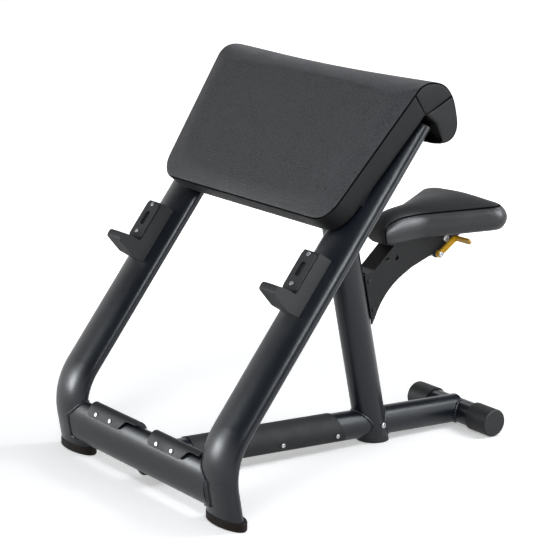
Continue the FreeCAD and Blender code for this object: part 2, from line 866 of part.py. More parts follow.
post_bolt = stud(
    "post_bolt_stud", d["bolt_radius"], d["bolt_head_radius"], d["bolt_head_height"], d["post_wall"] + 8
)
post_radial(post_bolt, d["post_bolt_height"], bolt_out + d["fit_gap"])
node(post_bolt, "post_bolt")
post_bolt_bore = cylinder("post_bolt_bore", bolt_hole, d["post_radius"])
post_radial(post_bolt_bore, d["post_bolt_height"], d["post_radius"] * 0.5)
plug_radius = d["post_radius"] - d["post_wall"] - d["fit_gap"]
drop_room = box("drop_room", d["post_radius"] * 4, d["post_radius"] * 4, d["pad_drop"] * 4)
drop_margin = d["fit_gap"] * 10
put(drop_room, flank, -d["post_radius"] * 2, pad_inner - drop_margin, -d["pad_drop"] - d["pad_thickness"])
node(
    cut("seat_post_tube", post_outer, post_bore, foot_slab, cross_solid, post_slot, post_bolt_bore, drop_room),
    "seat_post",
)

plug_bar = put(
    cylinder("plug_bar", plug_radius, d["post_plug_length"] + d["post_foot_height"]), post, 0, 0, 0
)
foot_bar = put(cylinder("foot_bar", d["post_radius"], d["post_foot_height"] * 4), post, 0, 0, -d["post_foot_height"] * 2)
foot_layer = box("foot_layer", d["post_radius"] * 4, d["post_radius"] * 4, d["post_foot_height"])
place(foot_layer, -d["post_radius"] * 2, post_y - d["post_radius"] * 2, 0)
plug_hall = box("plug_hall", d["post_radius"] * 4, d["post_radius"] * 4, d["post_plug_length"] * 4)
place(plug_hall, -d["post_radius"] * 2, post_y - d["post_radius"] * 2, 0)
post_foot_body = fuse(
    "post_foot_body", common("foot_disc", foot_bar, foot_layer), common("plug_disc", plug_bar, plug_hall)
)
node(cut("post_foot_bored", post_foot_body, post_bolt_bore), "post_foot")

cross_tube = cylinder("cross_tube", d["crossmember_radius"], cross_half * 2)
lay(cross_tube, -cross_half, cross_y, cross_z)
cross_bore = cylinder("cross_bore", d["crossmember_radius"] - d["crossmember_wall"], cross_half * 2 + 2)
lay(cross_bore, -cross_half - 1, cross_y, cross_z)
node(cut("pad_crossmember_tube", cross_tube, cross_bore, upright_clear, upright_clear_left), "pad_crossmember")

# Base beam, rear crossbar and their covers

beam_clear = beam_oval("front_beam_clear", d["weld_gap"], beam_length, 0)
bar_clear = cylinder("crossbar_clear", d["crossbar_radius"] + d["weld_gap"], d["crossbar_length"])
lay(bar_clear, -d["crossbar_length"] / 2, bar_y, bar_z)


def base_tube(name, radius, start, end):
    """Round bar along the base line between two distances from the rear crossbar."""
    return put(cylinder(name, radius, end - start), base, 0, 0, start)


base_mid = (d["crossbar_setback"] - d["post_setback"]) / cosine(base_rise)
base_bore_radius = d["base_beam_radius"] - d["base_beam_wall"]
cover_rear = base_mid + d["cover_rear_gap"]
cover_front = base_length - d["cover_front_gap"]
cover_screw_start = cover_rear + d["cover_screw_set_depth"]
cover_screw_rows = (cover_screw_start, cover_screw_start + d["cover_screw_spacing"])
cover_radius = d["base_beam_radius"] + d["fit_gap"] + d["cover_thickness"]
cover_screw_brow = d["cover_screw_depth"] - d["screw_head_radius"]
cover_screw_reach = root(cover_radius * cover_radius - cover_screw_brow * cover_screw_brow)
cover_screws = []
cover_bores = []
cover_screw_depth = d["cover_thickness"] + d["base_beam_wall"] + 5
for i, row in enumerate(cover_screw_rows):
    screw = stud(
        "cover_screw_%d" % i, d["screw_radius"], d["screw_head_radius"], d["screw_head_height"], cover_screw_depth
    )
    cover_screws.append(lay(screw, cover_screw_reach + d["fit_gap"], -d["cover_screw_depth"], row, base))
    bore = cylinder("cover_bore_%d" % i, screw_hole, cover_radius * 2 + 20)
    cover_bores.append(lay(bore, -cover_radius - 10, -d["cover_screw_depth"], row, base))
cover_screws.extend([mirror("cover_screw_left_%d" % i, screw) for i, screw in enumerate(cover_screws)])
node(group("base_cover_screw_set", *cover_screws), "base_cover_screws")
node(
    cut(
        "base_beam_tube",
        base_tube("base_front_outer", d["base_beam_radius"], base_mid, base_length),
        base_tube("base_front_bore", base_bore_radius, base_mid - 1, base_length + 1),
        post_clear,
        beam_clear,
        *cover_bores,
    ),
    "base_beam",
)
node(
    cut(
        "rear_beam_tube",
        base_tube("base_rear_outer", d["base_beam_radius"], as_size(0), base_mid),
        base_tube("base_rear_bore", base_bore_radius, as_size(-1), base_mid + 1),
        post_clear,
        bar_clear,
    ),
    "rear_beam",
)
cover_tube = cut(
    "cover_tube",
    base_tube("cover_outer", cover_radius, cover_rear - 20, cover_front),
    base_tube("cover_inner", d["base_beam_radius"] + d["fit_gap"], cover_rear - 30, cover_front + 10),
)
cover_window = prism(
    "cover_window",
    [
        (-d["cover_skirt"], cover_rear),
        (cover_radius + 2, cover_rear + d["cover_rear_slant"]),
        (cover_radius + 2, cover_front),
        (-d["cover_skirt"], cover_front),
    ],
    cover_radius * 4,
)
put(cover_window, base, 0, 0, 0)
node(cut("base_cover_shell", common("cover_half", cover_tube, cover_window), *cover_bores), "base_cover")

bar_tube = cylinder("bar_tube", d["crossbar_radius"], d["crossbar_length"])
lay(bar_tube, -d["crossbar_length"] / 2, bar_y, bar_z)
bar_bore = cylinder("bar_bore", d["crossbar_radius"] - d["crossbar_wall"], d["crossbar_length"] + 2)
lay(bar_bore, -d["crossbar_length"] / 2 - 1, bar_y, bar_z)
node(cut("rear_crossbar_tube", bar_tube, bar_bore), "rear_crossbar")

cap_start = d["crossbar_length"] / 2 + d["rear_cap_end"] - d["rear_cap_length"]
rear_cap_bar = cylinder("rear_cap_bar", d["rear_cap_radius"], d["rear_cap_length"])
lay(rear_cap_bar, cap_start, bar_y, bar_z)
cap_far = (cap_start + d["rear_cap_length"]).value
rear_cap_soft = round_edges(
    "rear_cap_soft", rear_cap_bar, d["rear_cap_round"],
    lambda e: len(e.Vertexes) == 1 and abs(e.CenterOfMass.x - cap_far) < 0.01,
)
rear_cap_bore = cylinder("rear_cap_bore", d["crossbar_radius"] + d["fit_gap"], d["rear_cap_length"])
lay(rear_cap_bore, cap_start - d["rear_cap_end"], bar_y, bar_z)
right_rear_cap = cut("right_rear_cap_cup", rear_cap_soft, rear_cap_bore)
node(right_rear_cap, "right_rear_cap")
node(mirror("left_rear_cap_cup", right_rear_cap), "left_rear_cap")

# Bar hooks with their front liners

hook_under_tip = hook_seat - d["hook_tip_rise"] - d["hook_tip_thickness"]
hook_blank = prism(
    "hook_blank",
    [
        (0, hook_under_back),
        (0, hook_top),
        (-d["hook_face"], hook_top - d["hook_top_slant"], d["hook_edge_radius"]),
        (-d["hook_face"], hook_seat, d["hook_seat_radius"]),
        (-d["hook_lip_start"], hook_seat, d["hook_lip_radius"]),
        (-d["hook_reach"], hook_seat - d["hook_tip_rise"], d["hook_tip_radius"]),
        (-d["hook_reach"], hook_under_tip, d["hook_tip_radius"]),
        (-d["hook_face"], hook_under_front, d["hook_lip_radius"]),
    ],
    d["hook_width"],
)
put(hook_blank, slope, half_spread, 0, 0)
groove_half = d["liner_groove_width"] / 2
groove_mid = (hook_screw_low + hook_screw_high) / 2
liner_groove = prism(
    "liner_groove",
    [
        (-groove_half, groove_mid - d["liner_groove_length"] / 2, groove_half * 0.96),
        (groove_half, groove_mid - d["liner_groove_length"] / 2, groove_half * 0.96),
        (groove_half, groove_mid + d["liner_groove_length"] / 2, groove_half * 0.96),
        (-groove_half, groove_mid + d["liner_groove_length"] / 2, groove_half * 0.96),
    ],
    d["liner_groove_depth"] * 2,
    "XZ_Plane",
)
put(liner_groove, slope, half_spread, -d["hook_face"] - d["liner_thickness"], 0)
right_hook = cut("right_hook_body", hook_blank, upright_clear, liner_groove, *hook_screw_bores)
node(right_hook, "right_bar_hook")
node(mirror("left_hook_body", right_hook), "left_bar_hook")

liner_low = hook_seat + d["liner_margin"]
liner_high = hook_top - d["hook_top_slant"] - d["liner_margin"]
liner_half = d["hook_width"] / 2 - d["liner_margin"] / 2
liner_blank = prism(
    "liner_blank",
    [
        (-liner_half, liner_low, d["liner_margin"]),
        (liner_half, liner_low, d["liner_margin"]),
        (liner_half, liner_high, d["liner_margin"]),
        (-liner_half, liner_high, d["liner_margin"]),
    ],
    d["liner_thickness"],
    "XZ_Plane",
)
liner_out = d["hook_face"] + d["liner_thickness"] / 2
put(liner_blank, slope, half_spread, -liner_out, 0)
right_liner = cut("right_liner_plate", liner_blank, liner_groove, *hook_screw_bores)
node(right_liner, "right_hook_liner")
node(mirror("left_liner_plate", right_liner), "left_hook_liner")

hook_screws = []
liner_face = d["hook_face"] + d["liner_thickness"]
for i, row in enumerate(hook_screw_rows):
    screw = stud(
        "hook_screw_%d" % i, d["screw_radius"], d["screw_head_radius"], d["screw_head_height"],
        liner_face - tube_ry + d["upright_wall"] + 4,
    )
    hook_screws.append(put(screw, slope, half_spread, -liner_face, row, 90))
hook_screws.extend([mirror("hook_screw_left_%d" % i, screw) for i, screw in enumerate(hook_screws)])
node(group("hook_screw_set", *hook_screws), "hook_screws")

# Arm pad, its board, brackets and bolts

out_y, out_z = -sine(d["upright_slope"]), cosine(d["upright_slope"])
up_y, up_z = cosine(d["upright_slope"]), sine(d["upright_slope"])
fall_y, fall_z = cosine(d["pad_flank_fall"]), sine(d["pad_flank_fall"])
pad_cane_run = d["pad_face_run"] + d["pad_thickness"]
roll_turn = d["upright_slope"] + d["pad_flank_fall"]


def slope_spot(outward, upward):
    """Side-view point from the centre of the roll, out from and up the slope."""
    return out_y * outward + up_y * upward, out_z * outward + up_z * upward


def flank_spot(outward, downward):
    """Side-view point from the centre of the roll, out from and down the flank."""
    return fall_z * outward + fall_y * downward, fall_y * outward - fall_z * downward


def sole_run(outward):
    """How far down the flank the level sole lies at a distance out."""
    return (fall_y * outward + d["pad_drop"]) / fall_z


fill_run = (d["pad_notch"] + pad_inner * sine(roll_turn)) / -cosine(roll_turn)
half_low = half_spread + d["pad_overhang"]
half_high = half_low + d["pad_flare"]
pad_slant = d["pad_flare"] / d["pad_face_run"]
pad_body = prism(
    "pad_cane",
    [
        slope_spot(pad_inner, -pad_cane_run),
        slope_spot(d["pad_roll_radius"], -pad_cane_run),
        slope_spot(d["pad_roll_radius"], d["pad_roll_radius"] * tangent(roll_turn / 2)) + (d["pad_roll_radius"],),
        flank_spot(d["pad_roll_radius"], sole_run(d["pad_roll_radius"])) + (d["pad_heel_radius"],),
        flank_spot(pad_inner, sole_run(pad_inner)),
        flank_spot(pad_inner, fill_run) + (d["pad_fill_radius"],),
        slope_spot(pad_inner, -d["pad_notch"]),
    ],
    half_high * 2 + d["pad_thickness"],
)
place(pad_body, 0, roll_y, roll_z)
plan_high = roll_station + d["pad_roll_radius"] * 2
pad_plan = prism(
    "pad_plan",
    [
        (-half_low, low_station, d["pad_corner_radius"]),
        (half_low, low_station, d["pad_corner_radius"]),
        (half_high, roll_station, d["pad_corner_radius"] * 3),
        (half_high, plan_high),
        (-half_high, plan_high),
        (-half_high, roll_station, d["pad_corner_radius"] * 3),
    ],
    d["pad_roll_radius"] * 8,
    "XZ_Plane",
)
put(pad_plan, slope, 0, 0, 0)
pad_trimmed = common("pad_trimmed", pad_body, pad_plan)


def on_pad_skin(edge):
    """Tell whether an edge runs round the outer skin of the pad."""
    spots = [edge.valueAt(edge.FirstParameter + (edge.LastParameter - edge.FirstParameter) * f) for f in (0.2, 0.8)]
    across = abs(spots[0].x - spots[1].x) > 1 and edge.BoundBox.YLength < 0.01
    low = slope.point(as_size(0), low_station + d["pad_corner_radius"])[1].value
    skin = []
    for spot in spots:
        y = spot.y - roll_y.value
        z = spot.z - roll_z.value
        outward = y * out_y.value + z * out_z.value
        upward = y * up_y.value + z * up_z.value
        flat = upward < 0.01 and abs(outward - d["pad_roll_radius"].value) < 0.01
        rolled = abs(math.hypot(y, z) - d["pad_roll_radius"].value) < 0.01
        flank_out = y * fall_z.value + z * fall_y.value
        flank_down = y * fall_y.value - z * fall_z.value
        dropped = flank_down > -0.01 and abs(flank_out - d["pad_roll_radius"].value) < 0.01
        skin.append(flat or rolled or dropped)
    return all(skin) and not (across and spots[0].z > low + d["pad_roll_radius"].value)


pad_soft = round_edges("pad_soft", pad_trimmed, d["pad_edge_round"], on_pad_skin)


def board_outline(margin):
    """Corners of the pad's backing board, grown by a margin."""
    low = low_station + d["pad_board_inset"] - margin
    top = roll_station - d["pad_notch"] - d["pad_board_inset"] / 2
    high = top + margin
    side = d["pad_board_inset"] - margin
    low_half = half_low + pad_slant * d["pad_board_inset"] - side
    high_half = half_low + pad_slant * (top - low_station) - side
    corner = d["pad_corner_radius"] - side / 2
    return [(-low_half, low, corner), (low_half, low, corner), (high_half, high), (-high_half, high)]


board_mid = pad_back + d["pad_board_thickness"] / 2
board_blank = prism("pad_board_blank", board_outline(as_size(0)), d["pad_board_thickness"], "XZ_Plane")
put(board_blank, slope, 0, -board_mid, 0)
board_pocket = prism(
    "pad_board_pocket", board_outline(d["fit_gap"]), d["pad_board_thickness"] + d["fit_gap"] * 2, "XZ_Plane"
)
put(board_pocket, slope, 0, -board_mid, 0)
node(cut("arm_pad_cushion", pad_soft, board_pocket), "arm_pad")
left_bolt_bores = [mirror("pad_bolt_bore_left_%d" % i, bore) for i, bore in enumerate(pad_bolt_bores)]
node(cut("arm_pad_board_plate", board_blank, *pad_bolt_bores, *left_bolt_bores), "arm_pad_board")

bracket_half = d["bracket_width"] / 2
bracket_low = bracket_station - d["bracket_length"] / 2
bracket_high = bracket_station + d["bracket_length"] / 2
bracket_out = pad_back - d["fit_gap"]
bracket_blank = prism(
    "bracket_blank",
    [(0, bracket_low), (-bracket_out, bracket_low), (-bracket_out, bracket_high), (0, bracket_high)],
    d["bracket_width"],
)
put(bracket_blank, slope, half_spread, 0, 0)
right_bracket = cut("right_bracket_saddle", bracket_blank, upright_clear, *pad_bolt_bores)
node(right_bracket, "right_pad_bracket")
node(mirror("left_bracket_saddle", right_bracket), "left_pad_bracket")

pad_bolts = []
for i, row in enumerate(pad_bolt_rows):
    bolt = stud(
        "pad_bolt_%d" % i, d["bolt_radius"], d["bolt_head_radius"], d["bolt_head_height"],
        tube_ry + pad_back + d["pad_board_thickness"] - 2,
    )
    pad_bolts.append(put(bolt, slope, half_spread, tube_ry + d["fit_gap"], row, -90))
pad_bolts.extend([mirror("pad_bolt_left_%d" % i, bolt) for i, bolt in enumerate(pad_bolts)])
node(group("arm_pad_bolt_set", *pad_bolts), "arm_pad_bolts")

# Seat carriage: slide block in the post, neck, arm plates and webs

post_inner = d["post_radius"] - d["post_wall"]
index_reach = root(post_inner * post_inner - d["index_bar_width"] * d["index_bar_width"] / 4) - d["fit_gap"]
index_front = index_reach - d["index_bar_thickness"]
block_radius = post_inner - d["fit_gap"]
block_bar = put(cylinder("block_bar", block_radius, d["block_height"]), post, 0, 0, block_low)
block_flat = box("block_flat", post_inner * 4, post_inner, d["block_height"] * 2)
flat_y = -index_front + d["fit_gap"] - post_inner
put(block_flat, post, -post_inner * 2, flat_y, block_low - d["block_height"] / 2)
neck_low = block_low
neck_high = block_low + d["neck_height"]
neck_back = d["front_web_depth"]
neck_front = -d["neck_depth_inside"]
neck_plate = prism(
    "neck_plate_bar",
    [(neck_front, neck_low), (neck_back, neck_low), (neck_back, neck_high), (neck_front, neck_high)],
    d["neck_thickness"],
)
put(neck_plate, post, 0, 0, 0)
node(neck_plate, "neck_plate")
neck_room = prism(
    "neck_room",
    [
        (neck_front - d["fit_gap"], neck_low - 10),
        (post_inner * 2, neck_low - 10),
        (post_inner * 2, neck_high + d["fit_gap"]),
        (neck_front - d["fit_gap"], neck_high + d["fit_gap"]),
    ],
    d["neck_thickness"] + d["fit_gap"] * 2,
)
put(neck_room, post, 0, 0, 0)
lock_bore = cylinder("lock_bore", d["lock_pin_radius"] + d["fit_gap"], post_inner * 4)
put(lock_bore, post, 0, -post_inner * 2, lock_height, -90)
node(cut("slide_block_bar", block_bar, block_flat, neck_room, lock_bore), "slide_block")

index_low = lock_height - d["index_pitch"] * 0.6
index_run = d["seat_travel"] + d["index_pitch"] * 1.2
index_blank = box("index_blank", d["index_bar_width"], d["index_bar_thickness"], index_run)
put(index_blank, post, -d["index_bar_width"] / 2, -index_reach, index_low)
index_count = int(d["seat_travel"].value / d["index_pitch"].value + 0.001) + 1
index_holes = []
for i in range(index_count):
    hole = cylinder("index_hole_%d" % i, d["lock_pin_radius"] + d["fit_gap"], post_inner)
    put(hole, post, 0, -post_inner, lock_height + d["index_pitch"] * i, -90)
    index_holes.append(hole)
node(cut("index_bar_strip", index_blank, *index_holes), "index_bar")

arm_x = d["arm_gap"] / 2 + d["arm_plate_thickness"] / 2
arm_half = d["arm_gap"] / 2
arm_front = root(d["post_radius"] * d["post_radius"] - arm_half * arm_half) + d["fit_gap"] * 2
seat_tilt = post_lean - d["seat_pitch"]
arm_tail = d["arm_crest"] - (d["arm_length"] - d["arm_crest_depth"]) * tangent(seat_tilt)


def run_radius(run, before, corner, after):
    """Radius of the arc that starts a given run away from a corner between two neighbours."""
    ay, az = before[0] - corner[0], before[1] - corner[1]
    by, bz = after[0] - corner[0], after[1] - corner[1]
    share = (ay * by + az * bz) / (root(ay * ay + az * az) * root(by * by + bz * bz))
    return run * root((1 - share) / (1 + share))


arm_curve_spot = (d["arm_curve_depth"], arm_curve_height)
arm_curve_stop = (d["arm_curve_end_depth"], arm_curve_end)
arm_curve_radius = run_radius(d["arm_curve_length"], (arm_front, arm_low), arm_curve_spot, arm_curve_stop)
arm_plate = prism(
    "arm_plate",
    [
        (arm_front, arm_low),
        (arm_front, arm_shoulder, d["arm_corner_radius"]),
        (d["arm_shoulder_depth"], arm_shoulder, d["arm_shoulder_radius"]),
        (d["arm_crest_depth"], d["arm_crest"], d["arm_crest_radius"]),
        (d["arm_length"], arm_tail, d["arm_corner_radius"]),
        (d["arm_length"] - d["arm_tail_rake"], arm_tail - d["arm_tail_height"], d["arm_corner_radius"]),
        (d["arm_underside_depth"], arm_underside, d["arm_underside_radius"]),
        arm_curve_stop + (d["arm_underside_radius"],),
        arm_curve_spot + (arm_curve_radius,),
    ],
    d["arm_plate_thickness"],
)
ear_sketch = new_sketch(arm_plate, "arm_ear_circle", "YZ_Plane")
draw_circle(ear_sketch, hinge_depth, hinge_height, d["hinge_ear_radius"])
pad(arm_plate, "arm_ear", ear_sketch, d["arm_plate_thickness"])
ear_top = hinge_height + d["hinge_drop"] / 2
ear_neck = new_sketch(arm_plate, "arm_ear_neck_outline", "YZ_Plane")
draw_outline(
    ear_neck,
    [
        (hinge_depth - d["hinge_ear_radius"], hinge_height),
        (hinge_depth + d["hinge_ear_radius"], hinge_height),
        (hinge_depth + d["hinge_ear_radius"], ear_top),
        (hinge_depth - d["hinge_ear_radius"], ear_top),
    ],
)
pad(arm_plate, "arm_ear_neck", ear_neck, d["arm_plate_thickness"])
web_mid = d["front_web_depth"] + d["front_web_thickness"] / 2
drill(
    arm_plate,
    "arm_holes",
    [
        (hinge_depth, hinge_height, d["shaft_radius"] + d["running_gap"]),
        (d["arm_hole_depth"], arm_hole_height, d["arm_hole_radius"]),
        (arm_bolt_depth, arm_bolt_height, bolt_hole),
        (web_mid, arm_screw_low, screw_hole),
        (web_mid, arm_screw_high, screw_hole),
    ],
)
slot_sketch = new_sketch(arm_plate, "arm_slot_outline", "YZ_Plane")
slot_end = d["arm_slot_width"] * 0.48
slot_side = d["arm_slot_length"] / 2
slot_rise = d["arm_slot_width"] / 2
draw_outline(
    slot_sketch,
    [
        (d["arm_slot_depth"] - slot_side, arm_slot_height - slot_rise, slot_end),
        (d["arm_slot_depth"] + slot_side, arm_slot_height - slot_rise, slot_end),
        (d["arm_slot_depth"] + slot_side, arm_slot_height + slot_rise, slot_end),
        (d["arm_slot_depth"] - slot_side, arm_slot_height + slot_rise, slot_end),
    ],
)
arm_slot = arm_plate.newObject("PartDesign::Pocket", "arm_slot")
arm_slot.Profile = slot_sketch
arm_slot.Type = "ThroughAll"
arm_slot.SideType = "Symmetric"
put(arm_plate, post, arm_x, 0, 0)
node(arm_plate, "right_arm_plate")
node(mirror("left_arm_plate_mirror", arm_plate), "left_arm_plate")

web_width = d["arm_gap"] - d["weld_gap"] * 2
web_high = lock_height - rod_clear
front_web = prism(
    "front_web",
    [
        (d["front_web_depth"], neck_low),
        (d["front_web_depth"] + d["front_web_thickness"], neck_low),
        (d["front_web_depth"] + d["front_web_thickness"], web_high),
        (d["front_web_depth"], web_high),
    ],
    web_width,
)
drill(
    front_web,
    "front_web_taps",
    [(web_mid, arm_screw_low, screw_hole), (web_mid, arm_screw_high, screw_hole)],
)
put(front_web, post, 0, 0, 0)
node(front_web, "arm_front_web")
top_drop = d["top_web_thickness"]
top_slope = arc_tangent((d["arm_crest"] - arm_shoulder) / (d["arm_crest_depth"] - d["arm_shoulder_depth"]))
top_shift = top_drop * tangent(top_slope / 2)
top_side = top_drop * sine(top_slope)
top_fall = top_drop * cosine(top_slope)
top_start = d["post_radius"] + d["fit_gap"] * 4
top_edge = d["arm_crest_depth"] - d["top_web_gap"]
top_edge_z = d["arm_crest"] - d["top_web_gap"] * tangent(top_slope)
top_web = prism(
    "top_web",
    [
        (top_start, arm_shoulder),
        (d["arm_shoulder_depth"], arm_shoulder, d["arm_shoulder_radius"]),
        (top_edge, top_edge_z),
        (top_edge + top_side, top_edge_z - top_fall),
        (d["arm_shoulder_depth"] + top_shift, arm_shoulder - top_drop, d["arm_shoulder_radius"] - top_drop),
        (top_start, arm_shoulder - top_drop),
    ],
    web_width,
)
put(top_web, post, 0, 0, 0)
node(top_web, "arm_top_web")

arm_screws = []
arm_outer = d["arm_gap"] / 2 + d["arm_plate_thickness"]
for i, row in enumerate((arm_screw_low, arm_screw_high)):
    screw = stud(
        "arm_screw_%d" % i, d["screw_radius"], d["screw_head_radius"], d["screw_head_height"],
        d["arm_plate_thickness"] + 8,
    )
    arm_screws.append(lay(screw, arm_outer, web_mid, row, post))
arm_screws.extend([mirror("arm_screw_left_%d" % i, screw) for i, screw in enumerate(arm_screws)])
node(group("arm_screw_set", *arm_screws), "arm_screws")
arm_bolt = stud(
    "arm_bolt_stud", d["bolt_radius"], d["bolt_head_radius"] * 1.25, d["bolt_head_height"], arm_outer * 2 + 6
)
lay(arm_bolt, arm_outer, arm_bolt_depth, arm_bolt_height, post)
arm_nut_blank = cylinder("arm_nut_blank", d["bolt_head_radius"], d["bolt_head_height"])
lay(arm_nut_blank, -arm_outer - d["bolt_head_height"], arm_bolt_depth, arm_bolt_height, post)
node(fuse("arm_bolt_with_nut", arm_bolt, arm_nut_blank), "arm_bolt")

# Release lever, crank, pull rod and lock pin

shaft_end = d["lever_offset"] + d["lever_thickness"]
shaft_bar = cylinder("shaft_bar", d["shaft_radius"], shaft_end + arm_outer + d["bolt_head_height"])
lay(shaft_bar, -arm_outer - d["bolt_head_height"], hinge_depth, hinge_height, post)
shaft_collar = cylinder("shaft_collar", d["shaft_radius"] + 3, d["lever_offset"] - arm_outer - d["fit_gap"])
lay(shaft_collar, arm_outer + d["fit_gap"], hinge_depth, hinge_height, post)
shaft_head = cylinder("shaft_head", d["shaft_radius"] + 3, d["bolt_head_height"] - d["fit_gap"])
lay(shaft_head, -arm_outer - d["bolt_head_height"], hinge_depth, hinge_height, post)
lever_bolt_radius = d["shaft_radius"] / 2
lever_bolt_depth = d["bolt_head_height"] * 2
shaft_tap = cylinder("shaft_tap", lever_bolt_radius + d["fit_gap"], lever_bolt_depth + 1)
lay(shaft_tap, shaft_end - lever_bolt_depth - 1, hinge_depth, hinge_height, post)
node(cut("lever_shaft_bar", fuse("shaft_turned", shaft_bar, shaft_collar, shaft_head), shaft_tap), "lever_shaft")

lever_near = d["lever_offset"]
lever_far = d["lever_offset"] + d["lever_thickness"]
grip_end = lever_near + d["lever_grip_length"] + d["lever_thickness"]
lever_blank = prism(
    "lever_blank",
    [
        (lever_near, 0),
        (lever_far, 0),
        (lever_far, d["lever_length"] - d["lever_thickness"], d["lever_bend_radius"] - d["lever_thickness"]),
        (grip_end, d["lever_length"] - d["lever_thickness"]),
        (grip_end, d["lever_length"]),
        (lever_near, d["lever_length"], d["lever_bend_radius"]),
    ],
    d["lever_width"],
    "XY_Plane",
)
lever_turn = post_lean + d["lever_rise"]
hinge_y, hinge_z = post.point(hinge_depth, hinge_height)
place(lever_blank, 0, hinge_y, hinge_z, lever_turn)
lever_soft = round_edges(
    "lever_soft", lever_blank, d["lever_width"] * 0.45,
    lambda e: abs(e.CenterOfMass.x - grip_end.value) < 0.01
    and abs(e.Length - d["lever_thickness"].value) < 0.01
    and e.Curve.TypeId == "Part::GeomLine",
)
lever_eye = cylinder("lever_eye", d["lever_eye_radius"], d["lever_thickness"])
lay(lever_eye, lever_near, hinge_depth, hinge_height, post)
lever_bore = cylinder("lever_bore", d["shaft_radius"] + d["running_gap"], d["lever_thickness"] * 3)
lay(lever_bore, lever_near - d["lever_thickness"], hinge_depth, hinge_height, post)
node(cut("release_lever_bar", fuse("lever_with_eye", lever_soft, lever_eye), lever_bore), "release_lever")
lever_bolt = stud("lever_bolt_head", lever_bolt_radius, d["bolt_head_radius"], d["bolt_head_height"], lever_bolt_depth)
lay(lever_bolt, shaft_end, hinge_depth, hinge_height, post)
node(lever_bolt, "lever_bolt")

crank_reach = lock_height - hinge_height
crank_half = d["crank_width"] / 2
fork_half = d["cross_pin_radius"] + d["cross_pin_play"]
crank_body = prism(
    "crank_body",
    [
        (-crank_half, 0),
        (crank_half, 0),
        (crank_half, crank_reach + d["crank_end"], 2),
        (fork_half, crank_reach + d["crank_end"]),
        (fork_half, crank_reach - d["cross_pin_radius"] - d["cross_pin_play"] * 2),
        (-fork_half, crank_reach - d["cross_pin_radius"] - d["cross_pin_play"] * 2),
        (-fork_half, crank_reach + d["crank_end"]),
        (-crank_half, crank_reach + d["crank_end"], 2),
    ],
    d["crank_thickness"],
)
hub_sketch = new_sketch(crank_body, "crank_hub_circle", "YZ_Plane")
draw_circle(hub_sketch, 0, 0, d["crank_hub_radius"])
pad(crank_body, "crank_hub", hub_sketch, d["crank_thickness"])
drill(crank_body, "crank_bore", [(0, 0, d["shaft_radius"] + d["running_gap"])])
put(crank_body, post, -d["crank_offset"], hinge_depth, hinge_height)
node(crank_body, "lever_crank")

cross_pin_length = d["crank_offset"] + d["crank_thickness"] / 2 + 1.5 + d["lock_pin_radius"] + 1
cross_pin = cylinder("cross_pin", d["cross_pin_radius"], cross_pin_length)
lay(cross_pin, d["lock_pin_radius"] + 1 - cross_pin_length, hinge_depth, lock_height, post)
node(cross_pin, "rod_cross_pin")
cross_pin_bore = cylinder("cross_pin_bore", d["cross_pin_radius"] + d["running_gap"], d["lock_pin_radius"] * 4)
lay(cross_pin_bore, -d["lock_pin_radius"] * 2, hinge_depth, lock_height, post)
lock_pin_back = d["front_web_depth"] + d["front_web_thickness"] + 8
lock_pin = put(
    cylinder("lock_pin_bar", d["lock_pin_radius"], d["lock_pin_tip"] + lock_pin_back),
    post, 0, -d["lock_pin_tip"], lock_height, -90,
)
tip_y = post.point(-d["lock_pin_tip"], lock_height)[0].value
node(
    round_edges(
        "lock_pin_eased", lock_pin, d["lock_pin_radius"] * 0.3,
        lambda e: len(e.Vertexes) == 1 and abs(e.CenterOfMass.y - tip_y) < 0.01,
    ),
    "lock_pin",
)
rod_radius = d["lock_pin_radius"] - 0.5
rod_end = hinge_depth + 8
pull_rod = put(
    cylinder("pull_rod_bar", rod_radius, rod_end - lock_pin_back), post, 0, lock_pin_back, lock_height, -90
)
node(cut("pull_rod_bored", pull_rod, cross_pin_bore), "pull_rod")

# Torsion return spring on the lever shaft


def biarc_edges(p0, t0, p1, t1):
    """Two circular arcs from p0 to p1 that keep both end directions."""
    v = p1 - p0
    t = t0 + t1
    spread = 2 * (1 - t0.dot(t1))
    reach = (-v.dot(t) + math.sqrt(v.dot(t) ** 2 + spread * v.dot(v))) / spread
    q0 = p0 + t0 * reach
    q1 = p1 - t1 * reach
    join = (q0 + q1) * 0.5
    edges = []
    for start, knee, end in ((p0, q0, join), (join, q1, p1)):
        chord_mid = (start + end) * 0.5
        arm = knee - chord_mid
        half_chord = start.distanceToPoint(chord_mid)
        side = start.distanceToPoint(knee)
        height = arm.Length * half_chord / (side + half_chord)
        edges.append(Part.Arc(start, chord_mid + arm.normalize() * height, end).toShape())
    return edges


def spring_shape():
    """Unbroken wire: straight end, turns about the cross axis, straight end."""
    radius = d["spring_radius"].value
    pitch = d["spring_pitch"].value
    wire = d["spring_wire"].value
    quarters = SPRING_TURNS * 4
    slope_x = pitch / (2 * math.pi)
    points = []
    for i in range(quarters + 1):
        angle = i * math.pi / 2 - math.pi / 2
        spot = Vector(slope_x * (angle + math.pi / 2), radius * math.cos(angle), radius * math.sin(angle))
        run = Vector(slope_x, -radius * math.sin(angle), radius * math.cos(angle)).normalize()
        points.append((spot, run))
    first, last = points[0], points[-1]
    lead = first[0] - first[1] * wire * 3
    tail = last[0] + last[1] * wire * 3
    edges = [Part.LineSegment(lead, first[0]).toShape()]
    for here, there in zip(points, points[1:]):
        edges.extend(biarc_edges(here[0], here[1], there[0], there[1]))
    edges.append(Part.LineSegment(last[0], tail).toShape())
    path = Part.Wire(edges)
    ring = Part.Wire([Part.Circle(lead, first[1], wire / 2).toShape()])
    shell = path.makePipeShell([ring], True, False)
    return shell, path


